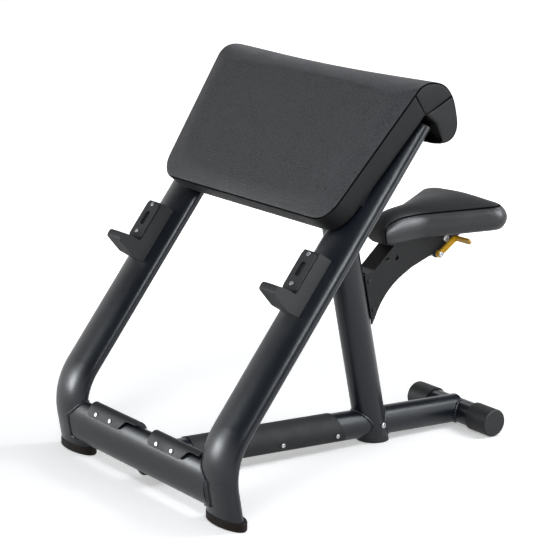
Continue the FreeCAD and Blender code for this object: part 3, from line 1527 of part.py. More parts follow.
spring_solid, spring_path = spring_shape()
spring_spots = spring_path.discretize(Number=40 * (SPRING_TURNS * 4 + 2))
spring_gap = min(
    a.distanceToPoint(b) - d["spring_wire"].value
    for i, a in enumerate(spring_spots)
    for b in spring_spots[i + 60:]
)
print("return_spring least gap to itself %.3f mm" % spring_gap)
print("return_spring volume %.1f of %.1f mm3" % (
    spring_solid.Volume, math.pi * d["spring_wire"].value ** 2 / 4 * spring_path.Length))
spring = doc.addObject("Part::Feature", "return_spring_wire")
spring.Shape = spring_solid
put(spring, post, d["spring_start"], hinge_depth, hinge_height)
node(spring, "return_spring")

# Seat: plate, board, cushion and bolts

seat_y, seat_z = post.point(d["arm_crest_depth"], d["arm_crest"])
seat = Frame(seat_y, seat_z, d["seat_pitch"])
plate_front_half = d["seat_plate_front_width"] / 2
plate_rear_half = d["seat_plate_rear_width"] / 2
plate_blank = prism(
    "seat_plate_blank",
    [
        (-plate_front_half, -d["seat_plate_front"], 10),
        (plate_front_half, -d["seat_plate_front"], 10),
        (plate_rear_half, d["seat_plate_rear"], 10),
        (-plate_rear_half, d["seat_plate_rear"], 10),
    ],
    d["seat_plate_thickness"],
    "XY_Plane",
)
bolt_rows = (
    (d["seat_bolt_front_width"], d["seat_bolt_front_depth"]),
    (d["seat_bolt_rear_width"], d["seat_bolt_rear_depth"]),
)
bolt_spots = [(width / 2 * side, y) for side in (-1, 1) for width, y in bolt_rows]
drill(plate_blank, "seat_plate_holes", [(x, y, bolt_hole) for x, y in bolt_spots], "XY_Plane")
put(plate_blank, seat, 0, 0, d["seat_plate_thickness"] / 2)
node(plate_blank, "seat_plate")

flare = (d["seat_rear_half"] - d["seat_waist_half"]) / (d["seat_rear"] - d["seat_rear_sweep"] - d["seat_waist"])
flare_side = root(flare * flare + 1)


def seat_outline(inset):
    """Plan of the seat drawn in by an inset, right half then left half."""
    inset = as_size(inset)
    nose_half = d["seat_nose_half"] - inset
    waist_half = d["seat_waist_half"] - inset
    corner = d["seat_rear"] - d["seat_rear_sweep"] - inset
    rear_half = d["seat_rear_half"] - inset * (flare_side + flare)
    nose = -d["seat_nose"] + inset
    nose_round = d["seat_nose_round"]
    rear_round = d["seat_rear_corner"] - inset * 0.4
    return [
        (-nose_half, nose, nose_round),
        (nose_half, nose, nose_round),
        (waist_half, d["seat_waist"], d["seat_waist_round"]),
        (rear_half, corner, rear_round),
        (0, d["seat_rear"] - inset, d["seat_rear_round"]),
        (-rear_half, corner, rear_round),
        (-waist_half, d["seat_waist"], d["seat_waist_round"]),
    ]


def seat_section(body, name, inset, height):
    """One level of the cushion."""
    sketch = new_sketch(body, name, "XY_Plane")
    draw_outline(sketch, seat_outline(inset))
    sketch.setExpression("AttachmentOffset.Base.z", as_size(height).text)
    return sketch


seat_levels = (
    (d["seat_tuck"], as_size(0)),
    (d["seat_tuck"] * 0.25, d["seat_height"] * 0.22),
    (as_size(0), d["seat_height"] * 0.52),
    (d["seat_tuck"] * 0.15, d["seat_height"] * 0.85),
    (d["seat_tuck"] * 0.6, d["seat_height"]),
    (d["seat_tuck"] * 2.1, d["seat_height"] + d["seat_crown"]),
)
cushion = doc.addObject("PartDesign::Body", "cushion")
levels = [seat_section(cushion, "cushion_level_%d" % i, *level) for i, level in enumerate(seat_levels)]
doc.recompute()
loft = cushion.newObject("PartDesign::AdditiveLoft", "cushion_loft")
loft.Profile = levels[0]
loft.Sections = levels[1:]
loft.Ruled = False
put(cushion, seat, 0, 0, d["seat_plate_thickness"] + d["fit_gap"])
board_body = prism("seat_board_blank", seat_outline(d["seat_board_inset"]), d["seat_board_thickness"], "XY_Plane")
drill(board_body, "seat_board_holes", [(x, y, bolt_hole) for x, y in bolt_spots], "XY_Plane")
board_level = d["seat_plate_thickness"] + d["seat_board_thickness"] / 2
put(board_body, seat, 0, 0, board_level)
node(board_body, "seat_board")
board_room = prism(
    "seat_board_room", seat_outline(d["seat_board_inset"] - d["fit_gap"]),
    d["seat_board_thickness"] + d["fit_gap"] * 2, "XY_Plane",
)
put(board_room, seat, 0, 0, board_level)
node(cut("seat_cushion_foam", cushion, board_room), "seat_cushion")

seat_bolts = []
for i, (x, y) in enumerate(bolt_spots):
    bolt = stud(
        "seat_bolt_%d" % i, d["bolt_radius"], d["bolt_head_radius"], d["bolt_head_height"],
        d["seat_plate_thickness"] + d["seat_board_thickness"] - 1,
    )
    seat_bolts.append(put(bolt, seat, x, y, -d["fit_gap"], 180))
node(group("seat_bolt_set", *seat_bolts), "seat_bolts")

# Check every object, then write the sub-parts

doc.recompute()
faults = []
for obj in doc.Objects:
    if "Invalid" in obj.State or "Error" in obj.State:
        faults.append("%s %s" % (obj.Name, obj.State))
for obj in nodes:
    shape = obj.Shape
    if shape.isNull() or not shape.isValid() or not shape.Solids:
        faults.append("%s has no sound solid" % obj.Label)
if faults:
    raise RuntimeError("; ".join(faults))
os.makedirs("parts", exist_ok=True)
for obj in nodes:
    obj.Shape.exportStep(os.path.join("parts", obj.Label + ".step"))
whole = FreeCAD.BoundBox()
for obj in nodes:
    whole.add(obj.Shape.BoundBox)
print("%d sub-parts, box %s" % (len(nodes), whole))
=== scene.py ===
"""Preacher curl bench: upholstery, welds, finishes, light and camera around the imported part."""
import logging
import math
from dataclasses import dataclass, field
from enum import Enum, IntEnum
from typing import Iterable, Sequence

import bmesh
import bpy
from mathutils import Matrix, Vector


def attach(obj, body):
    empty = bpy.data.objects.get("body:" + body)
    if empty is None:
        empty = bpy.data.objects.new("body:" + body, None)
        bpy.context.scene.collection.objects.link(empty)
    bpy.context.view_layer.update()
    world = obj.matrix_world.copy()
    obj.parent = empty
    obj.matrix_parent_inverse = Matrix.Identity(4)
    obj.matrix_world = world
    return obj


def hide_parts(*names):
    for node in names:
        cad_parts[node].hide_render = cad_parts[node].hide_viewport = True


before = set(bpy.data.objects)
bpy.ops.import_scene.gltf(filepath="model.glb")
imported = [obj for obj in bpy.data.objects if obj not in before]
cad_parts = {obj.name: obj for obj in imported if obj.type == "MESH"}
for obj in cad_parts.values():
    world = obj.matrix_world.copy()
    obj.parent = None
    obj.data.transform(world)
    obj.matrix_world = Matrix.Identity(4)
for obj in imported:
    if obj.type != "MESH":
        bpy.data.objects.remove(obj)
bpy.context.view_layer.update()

LOG = logging.getLogger("bench")
MM = 0.001
ACROSS = Vector((1.0, 0.0, 0.0))
WHITE = (1.0, 1.0, 1.0, 1.0)
# Lean of the uprights, the directions along and out of the pad's face, and the place of the uprights' bend
SLOPE = math.radians(53.77)
ALONG = Vector((0.0, math.cos(SLOPE), math.sin(SLOPE)))
OUTWARD = Vector((0.0, -math.sin(SLOPE), math.cos(SLOPE)))
BEND = Vector((0.0, -471.388 * MM, 147.4 * MM))
# Limits that tell where a point lies on a flat grid, which runs from -1 to 1 and has a depth of 0 to 1
GRID_EDGE = 0.9999
GRID_SAME = 1e-5
SKIN_DEPTH = 0.01
BACK_DEPTH = 0.99
# Weights that sort a grid's elements by depth first and by row next
DEPTH_RANK = 1e6
ROW_RANK = 1e3
# Decimals of a metre to which two points count as one
SPOT_DIGITS = 5
# Shares of relief and slow clouding in a finish's colour, and how far the clouding moves its gloss
RELIEF_SHARE = 0.55
CLOUD_SHARE = 0.45
CLOUD_RANGE = (0.3, 0.7)
GLOSS_RANGE = (0.9, 1.12)


def linear(code: str) -> tuple[float, float, float, float]:
    """Turn an sRGB hex colour into linear RGBA.

    Args:
        code: Colour such as "#20242b".

    Returns:
        The four linear components.
    """
    parts = [int(code[i:i + 2], 16) / 255.0 for i in (1, 3, 5)]
    lit = [c / 12.92 if c <= 0.04045 else ((c + 0.055) / 1.055) ** 2.4 for c in parts]
    return (lit[0], lit[1], lit[2], 1.0)


def add_node(
    tree: bpy.types.NodeTree,
    kind: str,
    inputs: dict[str | int, object] | None = None,
    **settings: object,
) -> bpy.types.Node:
    """Add one node, with its settings, fixed inputs and links.

    Args:
        tree: Node tree that gets the node.
        kind: Node type name.
        inputs: Input name or index to a value, or to the output socket that feeds it.
        **settings: Node properties.

    Returns:
        The new node.
    """
    node = tree.nodes.new(kind)
    for key, value in settings.items():
        setattr(node, key, value)
    for key, value in (inputs or {}).items():
        if isinstance(value, bpy.types.NodeSocket):
            tree.links.new(value, node.inputs[key])
        else:
            node.inputs[key].default_value = value
    return node


class Grain(Enum):
    """How a surface was made, which decides its relief."""

    PEBBLE = "embossed leather pebble"
    DOTS = "embossed dots"
    PEEL = "sprayed powder, orange peel"
    SPARK = "spark-eroded mould"
    DRAWN = "drawn or turned metal"
    PLY = "peeled veneer"


@dataclass(frozen=True)
class Finish:
    """One real material: its colour, gloss and relief.

    The relief's pitch is the real size in millimetres, drawn coarser where the render could not show it.
    """

    name: str
    colour: str
    accent: str
    roughness: float
    grain: Grain
    pitch_mm: float
    depth_mm: float
    metallic: float = 0.0
    ior: float = 1.5
    sheen: float = 0.0
    mottle_mm: float = 60.0
    edge_mm: float = 0.0

    def relief(self, tree: bpy.types.NodeTree, place: bpy.types.NodeSocket) -> bpy.types.NodeSocket:
        """Add the nodes of this finish's relief.

        Args:
            tree: The material's node tree.
            place: Object coordinates in metres.

        Returns:
            A height between 0 and 1.
        """
        scale = 1000.0 / self.pitch_mm
        if self.grain is Grain.PEBBLE:
            bend = add_node(
                tree, "ShaderNodeTexNoise",
                {"Vector": place, "Scale": scale * 0.4, "Detail": 1.0},
            )
            shift = add_node(
                tree, "ShaderNodeVectorMath",
                {0: bend.outputs["Color"], 1: (self.pitch_mm * MM,) * 3},
                operation="MULTIPLY",
            )
            moved = add_node(tree, "ShaderNodeVectorMath", {0: place, 1: shift.outputs[0]}, operation="ADD")
            cells = add_node(
                tree, "ShaderNodeTexVoronoi",
                {"Vector": moved.outputs[0], "Scale": scale},
                feature="DISTANCE_TO_EDGE",
            )
            rounded = add_node(
                tree, "ShaderNodeMapRange",
                {"Value": cells.outputs["Distance"], "From Max": 0.28},
                interpolation_type="SMOOTHSTEP",
            )
            return rounded.outputs[0]
        if self.grain is Grain.DOTS:
            dots = add_node(
                tree, "ShaderNodeTexVoronoi",
                {"Vector": place, "Scale": scale, "Randomness": 0.25},
            )
            rounded = add_node(
                tree, "ShaderNodeMapRange",
                {"Value": dots.outputs["Distance"], "From Max": 0.45},
                interpolation_type="SMOOTHSTEP",
            )
            return rounded.outputs[0]
        if self.grain is Grain.DRAWN:
            lines = add_node(tree, "ShaderNodeMapping", {"Vector": place, "Scale": (0.08, 1.0, 1.0)})
            fine = add_node(
                tree, "ShaderNodeTexNoise",
                {"Vector": lines.outputs[0], "Scale": scale, "Detail": 2.0},
            )
            return fine.outputs[0]
        if self.grain is Grain.PLY:
            lines = add_node(tree, "ShaderNodeMapping", {"Vector": place, "Scale": (1.0, 0.12, 0.12)})
            fine = add_node(
                tree, "ShaderNodeTexNoise",
                {"Vector": lines.outputs[0], "Scale": scale, "Detail": 6.0, "Distortion": 0.6},
            )
            return fine.outputs[0]
        detail = 2.0 if self.grain is Grain.PEEL else 5.0
        fine = add_node(tree, "ShaderNodeTexNoise", {"Vector": place, "Scale": scale, "Detail": detail})
        return fine.outputs[0]

    def build(self) -> bpy.types.Material:
        """Make the Blender material.

        Returns:
            The material, named for the real one.
        """
        material = bpy.data.materials.new(self.name)
        material.use_nodes = True
        tree = material.node_tree
        tree.nodes.clear()
        place = add_node(tree, "ShaderNodeTexCoord").outputs["Object"]
        height = self.relief(tree, place)
        cloud = add_node(
            tree, "ShaderNodeTexNoise",
            {"Vector": place, "Scale": 1000.0 / self.mottle_mm, "Detail": 4.0},
        ).outputs[0]
        blend = add_node(tree, "ShaderNodeMath", {0: height, 1: RELIEF_SHARE}, operation="MULTIPLY")
        shade = add_node(
            tree, "ShaderNodeMath",
            {0: cloud, 1: CLOUD_SHARE, 2: blend.outputs[0]},
            operation="MULTIPLY_ADD",
        )
        colour = add_node(
            tree, "ShaderNodeMix",
            {0: shade.outputs[0], 6: linear(self.accent), 7: linear(self.colour)},
            data_type="RGBA",
        )
        gloss = add_node(
            tree, "ShaderNodeMapRange",
            {
                "Value": cloud,
                "From Min": CLOUD_RANGE[0],
                "From Max": CLOUD_RANGE[1],
                "To Min": self.roughness * GLOSS_RANGE[0],
                "To Max": min(1.0, self.roughness * GLOSS_RANGE[1]),
            },
        )
        shader_inputs: dict[str | int, object] = {
            "Base Color": colour.outputs[2],
            "Roughness": gloss.outputs[0],
            "Metallic": self.metallic,
            "IOR": self.ior,
            "Sheen Weight": self.sheen,
            "Sheen Roughness": 0.5,
        }
        bump_inputs: dict[str | int, object] = {
            "Height": height,
            "Distance": self.depth_mm * MM,
            "Strength": 1.0,
        }
        if self.edge_mm:
            rim = add_node(tree, "ShaderNodeBevel", {"Radius": self.edge_mm * MM}, samples=4)
            bump_inputs["Normal"] = rim.outputs[0]
        bump = add_node(tree, "ShaderNodeBump", bump_inputs)
        shader_inputs["Normal"] = bump.outputs[0]
        shader = add_node(tree, "ShaderNodeBsdfPrincipled", shader_inputs)
        add_node(tree, "ShaderNodeOutputMaterial", {"Surface": shader.outputs[0]})
        return material


# Steel tube with a satin powder coat: near-black blue, a faint orange peel in the highlights
POWDER = Finish("powder_coated_steel", "#181d26", "#12171e", 0.3, Grain.PEEL, 2.4, 0.0025, edge_mm=0.8)
# Flame-cut plates under the seat: a duller, neutral coat of the same paint
PLATE = Finish(
    "powder_coated_plate", "#18181a", "#121213", 0.5, Grain.PEEL, 2.0, 0.012, ior=1.36, edge_mm=0.8,
)
# Leatherette of the arm pad's face: embossed pebble drawn at 4 mm so that it shows
FACE_HIDE = Finish("pebbled_leatherette", "#4a4a4e", "#1e1e22", 0.52, Grain.PEBBLE, 4.0, 0.36)
# Border strips: the same hide with a finer, shallower emboss, its colour made far darker than the face's as
# painted shade of the strips that face away from the light
SHADED_BORDER_HIDE = Finish("smooth_leatherette_painted_shade", "#131315", "#0e0e10", 0.58, Grain.PEBBLE, 1.8, 0.035, ior=1.35)
# Sunk seam with its thread: a dull near-black line between the panels, partly the thread's own colour and
# partly painted shade of the crease
SEAM_THREAD_AND_SHADE = Finish("waxed_seam_thread_and_shade", "#050506", "#030304", 0.9, Grain.SPARK, 1.2, 0.05, ior=1.15)
# Lining on the pad's back: thin black vinyl, nearly lost in the pad's shade
LINING = Finish("black_vinyl_lining", "#0a0a0b", "#060607", 0.75, Grain.SPARK, 1.5, 0.02, ior=1.25)
# Seat top: hide with a fine dotted emboss that grips, matt
SEAT_TOP_HIDE = Finish("dotted_leatherette", "#1f1f22", "#111114", 0.62, Grain.DOTS, 3.2, 0.10, sheen=0.05)
# Seat side: pebbled hide drawn over the foam, with a soft shine on its shoulder
SEAT_SIDE_HIDE = Finish(
    "drawn_leatherette", "#464649", "#303033", 0.37, Grain.PEBBLE, 2.2, 0.06, sheen=0.06,
)
# Glass-filled nylon from a spark-eroded mould: dull, even, dark grey
NYLON = Finish("glass_filled_nylon", "#2a2b2d", "#202123", 0.62, Grain.SPARK, 1.3, 0.03, edge_mm=0.6)
# Moulded black rubber, dull with a slight bloom
CAP_RUBBER = Finish("black_rubber", "#191a1b", "#131314", 0.55, Grain.SPARK, 1.6, 0.03, edge_mm=0.8)
# Brown-black rubber of the front feet, matt
FOOT_RUBBER = Finish(
    "brown_rubber", "#1e130d", "#140c08", 0.7, Grain.SPARK, 1.6, 0.03, ior=1.33, edge_mm=0.8,
)
# Ribbed step grip of moulded soft plastic: dull dark grey
GRIP_RUBBER = Finish("moulded_elastomer", "#26282b", "#1d1f22", 0.52, Grain.SPARK, 1.3, 0.03, edge_mm=0.8)
# Moulded sleeve over the base beam: dull, near black
SLEEVE = Finish("moulded_polypropylene", "#1b1c1f", "#151618", 0.7, Grain.SPARK, 1.5, 0.02, edge_mm=0.5)
# Zinc-plated screws and pins: bright grey metal with faint turning marks
ZINC = Finish(
    "zinc_plated_steel", "#d6d9dc", "#a9adb1", 0.36, Grain.DRAWN, 0.8, 0.01, metallic=1.0, mottle_mm=6.0,
    edge_mm=0.3,
)
# Black-oxide screws between the arm plates: dull, nearly lost against the paint
BLACK_STEEL = Finish("black_oxide_steel", "#1a1b1d", "#131416", 0.42, Grain.DRAWN, 0.8, 0.01, mottle_mm=6.0)
# Golden yellow enamel on the release lever, with a soft shine
LEVER_ENAMEL = Finish(
    "yellow_enamel", "#ffc814", "#ffbe0c", 0.4, Grain.PEEL, 2.0, 0.01, ior=1.45, edge_mm=0.6,
)
# Birch plywood boards under the upholstery: warm brown with a long grain
PLYWOOD = Finish("birch_plywood", "#8a6d49", "#5d4629", 0.7, Grain.PLY, 5.0, 0.06, ior=1.45)

NODE_FINISH: dict[str, Finish] = {
    **dict.fromkeys(
        "right_upright left_upright front_beam seat_post pad_crossmember base_beam rear_beam rear_crossbar "
        "right_pad_bracket left_pad_bracket neck_plate".split(), POWDER),
    **dict.fromkeys("right_arm_plate left_arm_plate arm_front_web arm_top_web seat_plate".split(), PLATE),
    **dict.fromkeys("right_front_foot left_front_foot".split(), FOOT_RUBBER),
    **dict.fromkeys(
        "right_rear_cap left_rear_cap post_foot right_upright_cap left_upright_cap".split(), CAP_RUBBER),
    **dict.fromkeys("right_step_grip left_step_grip".split(), GRIP_RUBBER),
    **dict.fromkeys(
        "right_bar_hook left_bar_hook right_hook_liner left_hook_liner slide_block".split(), NYLON),
    "base_cover": SLEEVE,
    **dict.fromkeys(
        "step_grip_screws post_bolt base_cover_screws hook_screws arm_pad_bolts arm_bolt seat_bolts "
        "lever_bolt lever_shaft lever_crank lock_pin pull_rod rod_cross_pin index_bar "
        "return_spring".split(), ZINC),
    **dict.fromkeys("arm_pad_board seat_board".split(), PLYWOOD),
    "arm_screws": BLACK_STEEL,
    "release_lever": LEVER_ENAMEL,
}


class Workshop:
    """Makes each finish once and hands it out."""

    def __init__(self) -> None:
        """Start with no materials."""
        self.made: dict[str, bpy.types.Material] = {}

    def finish(self, finish: Finish) -> bpy.types.Material:
        """Return the material of a finish, made on first use.

        Args:
            finish: The finish.

        Returns:
            Its material.
        """
        if finish.name not in self.made:
            self.made[finish.name] = finish.build()
        return self.made[finish.name]

    def dress_nodes(self) -> None:
        """Give every part that is kept its finish."""
        for name, finish in NODE_FINISH.items():
            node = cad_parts[name]
            node.data.materials.clear()
            node.data.materials.append(self.finish(finish))
            LOG.info("%s: %s", name, finish.name)


class Panel(IntEnum):
    """Material slots of a cover."""

    FACE = 0
    # The seam strip: the thread's colour and painted shade of the crease
    BORDER = 1
    THREAD = 2
    LINING = 3


@dataclass(frozen=True)
class Filling:
    """How a cover is blown up: furthest move in metres, air pressure, and its hide as cloth."""

    cap: float
    pressure: float
    frames: int = 20
    quality: int = 6
    mass: float = 0.25
    stretch: float = 12.0
    shear: float = 6.0
    bending: float = 2.0


@dataclass(frozen=True)
class Crease:
    """A sunk seam: half width and depth in metres, and the share of the half width that sinks."""

    half: float
    depth: float
    sunk_share: float = 0.75


def shade_smooth(mesh: bpy.types.Mesh) -> None:
    """Smooth-shade every face of a mesh."""
    for polygon in mesh.polygons:
        polygon.use_smooth = True


def new_object(
    name: str,
    bm: bmesh.types.BMesh,
    materials: Sequence[bpy.types.Material],
) -> bpy.types.Object:
    """Turn a bmesh into a smooth-shaded object at the origin.

    Args:
        name: Piece name.
        bm: Mesh in metres, in place; it is freed.
        materials: Material slots in order.

    Returns:
        The linked object.
    """
    mesh = bpy.data.meshes.new(name)
    bm.to_mesh(mesh)
    bm.free()
    shade_smooth(mesh)
    for material in materials:
        mesh.materials.append(material)
    made = bpy.data.objects.new(name, mesh)
    bpy.context.scene.collection.objects.link(made)
    return made


def face_outward(bm: bmesh.types.BMesh) -> None:
    """Turn every face of a closed mesh outward.

    Args:
        bm: The mesh, which is changed.
    """
    bmesh.ops.recalc_face_normals(bm, faces=bm.faces[:])
    if bm.calc_volume(signed=True) < 0.0:
        bmesh.ops.reverse_faces(bm, faces=bm.faces[:])


def settle_order(bm: bmesh.types.BMesh) -> None:
    """Sort the elements of a flat grid by place, so that they have the same order each run.

    Args:
        bm: The grid, which is changed.
    """

    def rank(spot: Vector) -> float:
        """Return one number that grows with depth, then row, then column."""
        return spot.z * DEPTH_RANK + (spot.y + 1.0) * ROW_RANK + spot.x + 1.0

    bm.verts.sort(key=lambda v: rank(v.co))
    bm.edges.sort(key=lambda e: rank((e.verts[0].co + e.verts[1].co) / 2.0))
    bm.faces.sort(key=lambda f: rank(f.calc_center_median()))


def boxed_grid(columns: int, rows: int, wall_cuts: int) -> bmesh.types.BMesh:
    """Make a flat box: skin at depth 0, back at depth 1 and cut walls between them.

    Args:
        columns: Faces across.
        rows: Faces along.
        wall_cuts: Cuts round the walls.

    Returns:
        The box, from -1 to 1 across and along.
    """
    bm = bmesh.new()
    bmesh.ops.create_grid(bm, x_segments=columns, y_segments=rows, size=1.0)
    back = bmesh.ops.extrude_face_region(bm, geom=bm.faces[:], use_keep_orig=True)
    for item in back["geom"]:
        if isinstance(item, bmesh.types.BMVert):
            item.co.z = 1.0
    walls = [e for e in bm.edges if on_skin(e.verts[0].co) != on_skin(e.verts[1].co)]
    bmesh.ops.subdivide_edges(bm, edges=walls, cuts=wall_cuts, use_grid_fill=True)
    settle_order(bm)
    return bm


def on_skin(flat: Vector) -> bool:
    """Return whether a point of a flat box lies on its skin."""
    return flat.z < SKIN_DEPTH


def on_side(a: Vector, b: Vector, axis: int) -> bool:
    """Return whether the line from a to b lies in one of a flat box's two walls that face an axis."""
    return abs(a[axis] - b[axis]) < GRID_SAME and abs(a[axis]) > GRID_EDGE


def spot_key(point: Vector) -> tuple[float, ...]:
    """Return a point's rounded place, by which it is found again after a merge."""
    return tuple(round(c, SPOT_DIGITS) for c in point)


def puff(made: bpy.types.Object, pinned: Iterable[int], filling: Filling) -> None:
    """Blow a cover up with cloth simulation and keep each point's move as its "lift" attribute.

    The move is added after the seams are sewn, so that their faces don't depend on the simulation.

    Args:
        made: Object whose mesh is the cover before it is filled.
        pinned: Vertices that are sewn or tacked and don't move.
        filling: Hide, air pressure and furthest move.
    """
    group = made.vertex_groups.new(name="sewn")
    group.add(list(pinned), 1.0, "REPLACE")
    cloth = made.modifiers.new("fill", "CLOTH")
    cloth.settings.quality = filling.quality
    cloth.settings.mass = filling.mass
    cloth.settings.tension_stiffness = filling.stretch
    cloth.settings.compression_stiffness = filling.stretch
    cloth.settings.shear_stiffness = filling.shear
    cloth.settings.bending_stiffness = filling.bending
    cloth.settings.use_pressure = True
    cloth.settings.uniform_pressure_force = filling.pressure
    cloth.settings.vertex_group_mass = group.name
    cloth.settings.effector_weights.gravity = 0.0
    cloth.collision_settings.use_collision = False
    cloth.point_cache.frame_start = 1
    cloth.point_cache.frame_end = filling.frames
    rest = [v.co.copy() for v in made.data.vertices]
    for step in range(1, filling.frames + 1):
        bpy.context.scene.frame_set(step)
    settled = made.evaluated_get(bpy.context.evaluated_depsgraph_get()).to_mesh()
    moves = [v.co - start for v, start in zip(settled.vertices, rest)]
    made.modifiers.remove(cloth)
    made.vertex_groups.remove(group)
    bpy.context.scene.frame_set(1)
    lift = made.data.attributes.new("lift", "FLOAT_VECTOR", "POINT")
    for item, move in zip(lift.data, moves):
        reach = move.length
        item.vector = move * min(1.0, filling.cap / reach) if reach else move
    furthest = max(move.length for move in moves)
    LOG.info("%s: filled by up to %.1f mm", made.name, furthest / MM)


def sew(made: bpy.types.Object, crease: Crease) -> None:
    """Draw the marked seams of a cover in to narrow creases, then add the move that puff kept.

    Args:
        made: Object whose edges carry the "seam" attribute.
        crease: Width and depth of the seams.
    """
    bm = bmesh.new()
    bm.from_mesh(made.data)
    layer = bm.edges.layers.int["seam"]
    seams = [e for e in bm.edges if e[layer]]
    stitches = [(e.verts[0].co.copy(), e.verts[1].co.copy()) for e in seams]
    sewn = bmesh.ops.bevel(
        bm, geom=seams, offset=crease.half, offset_type="OFFSET", segments=2, profile=0.5, affect="EDGES",
        material=-1, loop_slide=True,
    )
    bm.normal_update()
    # The crease faces take the near-black seam finish: the thread's colour and painted shade of the crease
    for face in sewn["faces"]:
        face.material_index = Panel.THREAD
    strip = [v for v in sewn["verts"] if v.is_valid]
    for vertex in strip:
        nearest = min(stitch_distance(vertex.co, a, b) for a, b in stitches)
        if nearest < crease.half * crease.sunk_share:
            vertex.co -= vertex.normal * crease.depth
    lift = bm.verts.layers.float_vector.get("lift")
    if lift is not None:
        held = set(strip)
        for vertex in bm.verts:
            if vertex not in held:
                vertex.co += vertex[lift]
        bm.verts.layers.float_vector.remove(lift)
    bm.to_mesh(made.data)
    bm.free()
    shade_smooth(made.data)


def stitch_distance(point: Vector, start: Vector, end: Vector) -> float:
    """Measure how far a point lies from a straight seam stitch.

    Args:
        point: The point.
        start: Where the stitch starts.
        end: Where the stitch ends.

    Returns:
        The distance in metres.
    """
    run = end - start
    share = max(0.0, min(1.0, (point - start).dot(run) / max(run.length_squared, 1e-12)))
    return (point - start - run * share).length


def soften(made: bpy.types.Object, levels: int = 1) -> None:
    """Add a subdivision surface with equal view and render levels.

    Args:
        made: Object that gets it.
        levels: How often it subdivides.
    """
    smooth = made.modifiers.new("smooth", "SUBSURF")
    smooth.levels = levels
    smooth.render_levels = levels


@dataclass
class ArmPad:
    """Rolled arm pad: a face panel that runs over the roll, boxed by border strips.

    A run s along the skin is 0 where the roll starts, negative on the face and positive over the roll.
    """

    low: float = -329.3 * MM
    thickness: float = 53.9 * MM
    roll: float = 50.0 * MM
    roll_station: float = 866.6 * MM
    roll_out: float = 28.7 * MM
    flank_fall: float = math.radians(62.2)
    flank_run: float = 64.2 * MM
    heel: float = 34.0 * MM
    sole: float = 26.0 * MM
    # Bulge of the flank, between a share of the roll's arc and a share of the heel
    bulge: float = 12.0 * MM
    bulge_start: float = 0.45
    bulge_stop: float = 0.7
    # The back behind the roll: where it bends, how soon, the shares that round it and how soon it widens
    fold_run: float = 42.0 * MM
    fold_pace: float = 2.2
    fold_round: tuple[float, float] = (0.3, 0.7)
    widen_pace: float = 3.0
    # Where the back ends, and half the pad's width at its low edge and along the roll
    foot_run: float = 96.0 * MM
    half_low: float = 317.6 * MM
    half_high: float = 366.9 * MM
    corner: float = 48.0 * MM
    end_corner: float = 14.0 * MM
    rim: float = 9.2 * MM
    # The board's upper edge, its pocket, and where the back turns into the fold
    board_top: float = -26.3 * MM
    board_thickness: float = 12.4 * MM
    pocket_lip: float = 0.3 * MM
    pocket_slack: float = 0.5 * MM
    notch: float = -22.0 * MM
    columns: int = 56
    wall_cuts: int = 4
    merge: float = 0.05 * MM
    seam_rows: tuple[float, float] = (-5.0 * MM, 113.0 * MM)
    filling: Filling = Filling(7.0 * MM, 7.0)
    crease: Crease = Crease(1.3 * MM, 1.8 * MM)
    rows: list[float] = field(default_factory=list)

    def __post_init__(self) -> None:
        """Work out the centre of the roll, the flank's directions and the stations of the rows."""
        self.centre = BEND + ALONG * self.roll_station + OUTWARD * self.roll_out
        self.down = Vector((0.0, math.cos(self.flank_fall), -math.sin(self.flank_fall)))
        self.out = Vector((0.0, math.sin(self.flank_fall), math.cos(self.flank_fall)))
        self.arc_end = self.roll * (SLOPE + self.flank_fall)
        self.heel_start = self.arc_end + self.flank_run
        self.heel_turn = math.pi - self.flank_fall
        self.heel_end = self.heel_start + self.heel * self.heel_turn
        self.end = self.heel_end + self.sole
        spans = [
            (self.low + self.rim, 1),
            (self.board_top, 22),
            (self.notch, 1),
            (self.seam_rows[0], 2),
            (0.0, 1),
            (self.arc_end, 10),
            (self.seam_rows[1], 1),
            (self.heel_start, 6),
            (self.heel_end, 6),
            (self.end, 3),
        ]
        start = self.low
        self.rows = [start]
        for stop, count in spans:
            self.rows += [start + (stop - start) * (i + 1) / count for i in range(count)]
            start = stop

    def outer(self, s: float) -> Vector:
        """Point of the skin's side line at a run s.

        Args:
            s: Run along the skin in metres.

        Returns:
            The point with no sideways part.
        """
        if s <= 0.0:
            return self.centre + OUTWARD * self.roll + ALONG * s
        first = self.arc_end * self.bulge_start
        last = self.heel_start + self.heel * self.bulge_stop
        share = max(0.0, min(1.0, (s - first) / (last - first)))
        swell = self.bulge * math.sin(math.pi * share) ** 2
        if s <= self.arc_end:
            angle = SLOPE + math.pi / 2 - s / self.roll
            return self.centre + Vector((0.0, math.cos(angle), math.sin(angle))) * (self.roll + swell)
        start = self.centre + self.out * self.roll
        if s <= self.heel_start:
            return start + self.down * (s - self.arc_end) + self.out * swell
        hub = start + self.down * self.flank_run - self.out * self.heel
        turned = min(s - self.heel_start, self.heel * self.heel_turn) / self.heel
        angle = math.pi / 2 - self.flank_fall - turned
        point = hub + Vector((0.0, math.cos(angle), math.sin(angle))) * (self.heel + swell)
        if s > self.heel_end:
            point += Vector((0.0, -1.0, 0.0)) * (s - self.heel_end)
        return point

    def past_seam(self, s: float) -> float:
        """Share of the run from the roll's second seam to the end of the skin."""
        return (s - self.seam_rows[1]) / (self.end - self.seam_rows[1])

    def inner(self, s: float) -> Vector:
        """Point of the back's side line that faces the skin at a run s.

        Args:
            s: Run along the skin in metres.

        Returns:
            The point with no sideways part.
        """
        if s <= self.notch:
            return self.outer(s) - OUTWARD * self.thickness
        pit = self.outer(self.notch) - OUTWARD * self.thickness
        if s <= self.seam_rows[1]:
            return pit
        behind = self.centre + self.out * (self.roll - self.thickness)
        bend = behind + self.down * self.fold_run
        foot = behind + self.down * self.foot_run
        share = self.past_seam(s)
        first, last = self.fold_round
        one = pit.lerp(bend, min(1.0, share * self.fold_pace))
        two = bend.lerp(foot, max(0.0, share * 2.0 - 1.0))
        return one.lerp(two, max(0.0, min(1.0, (share - first) / (last - first))))

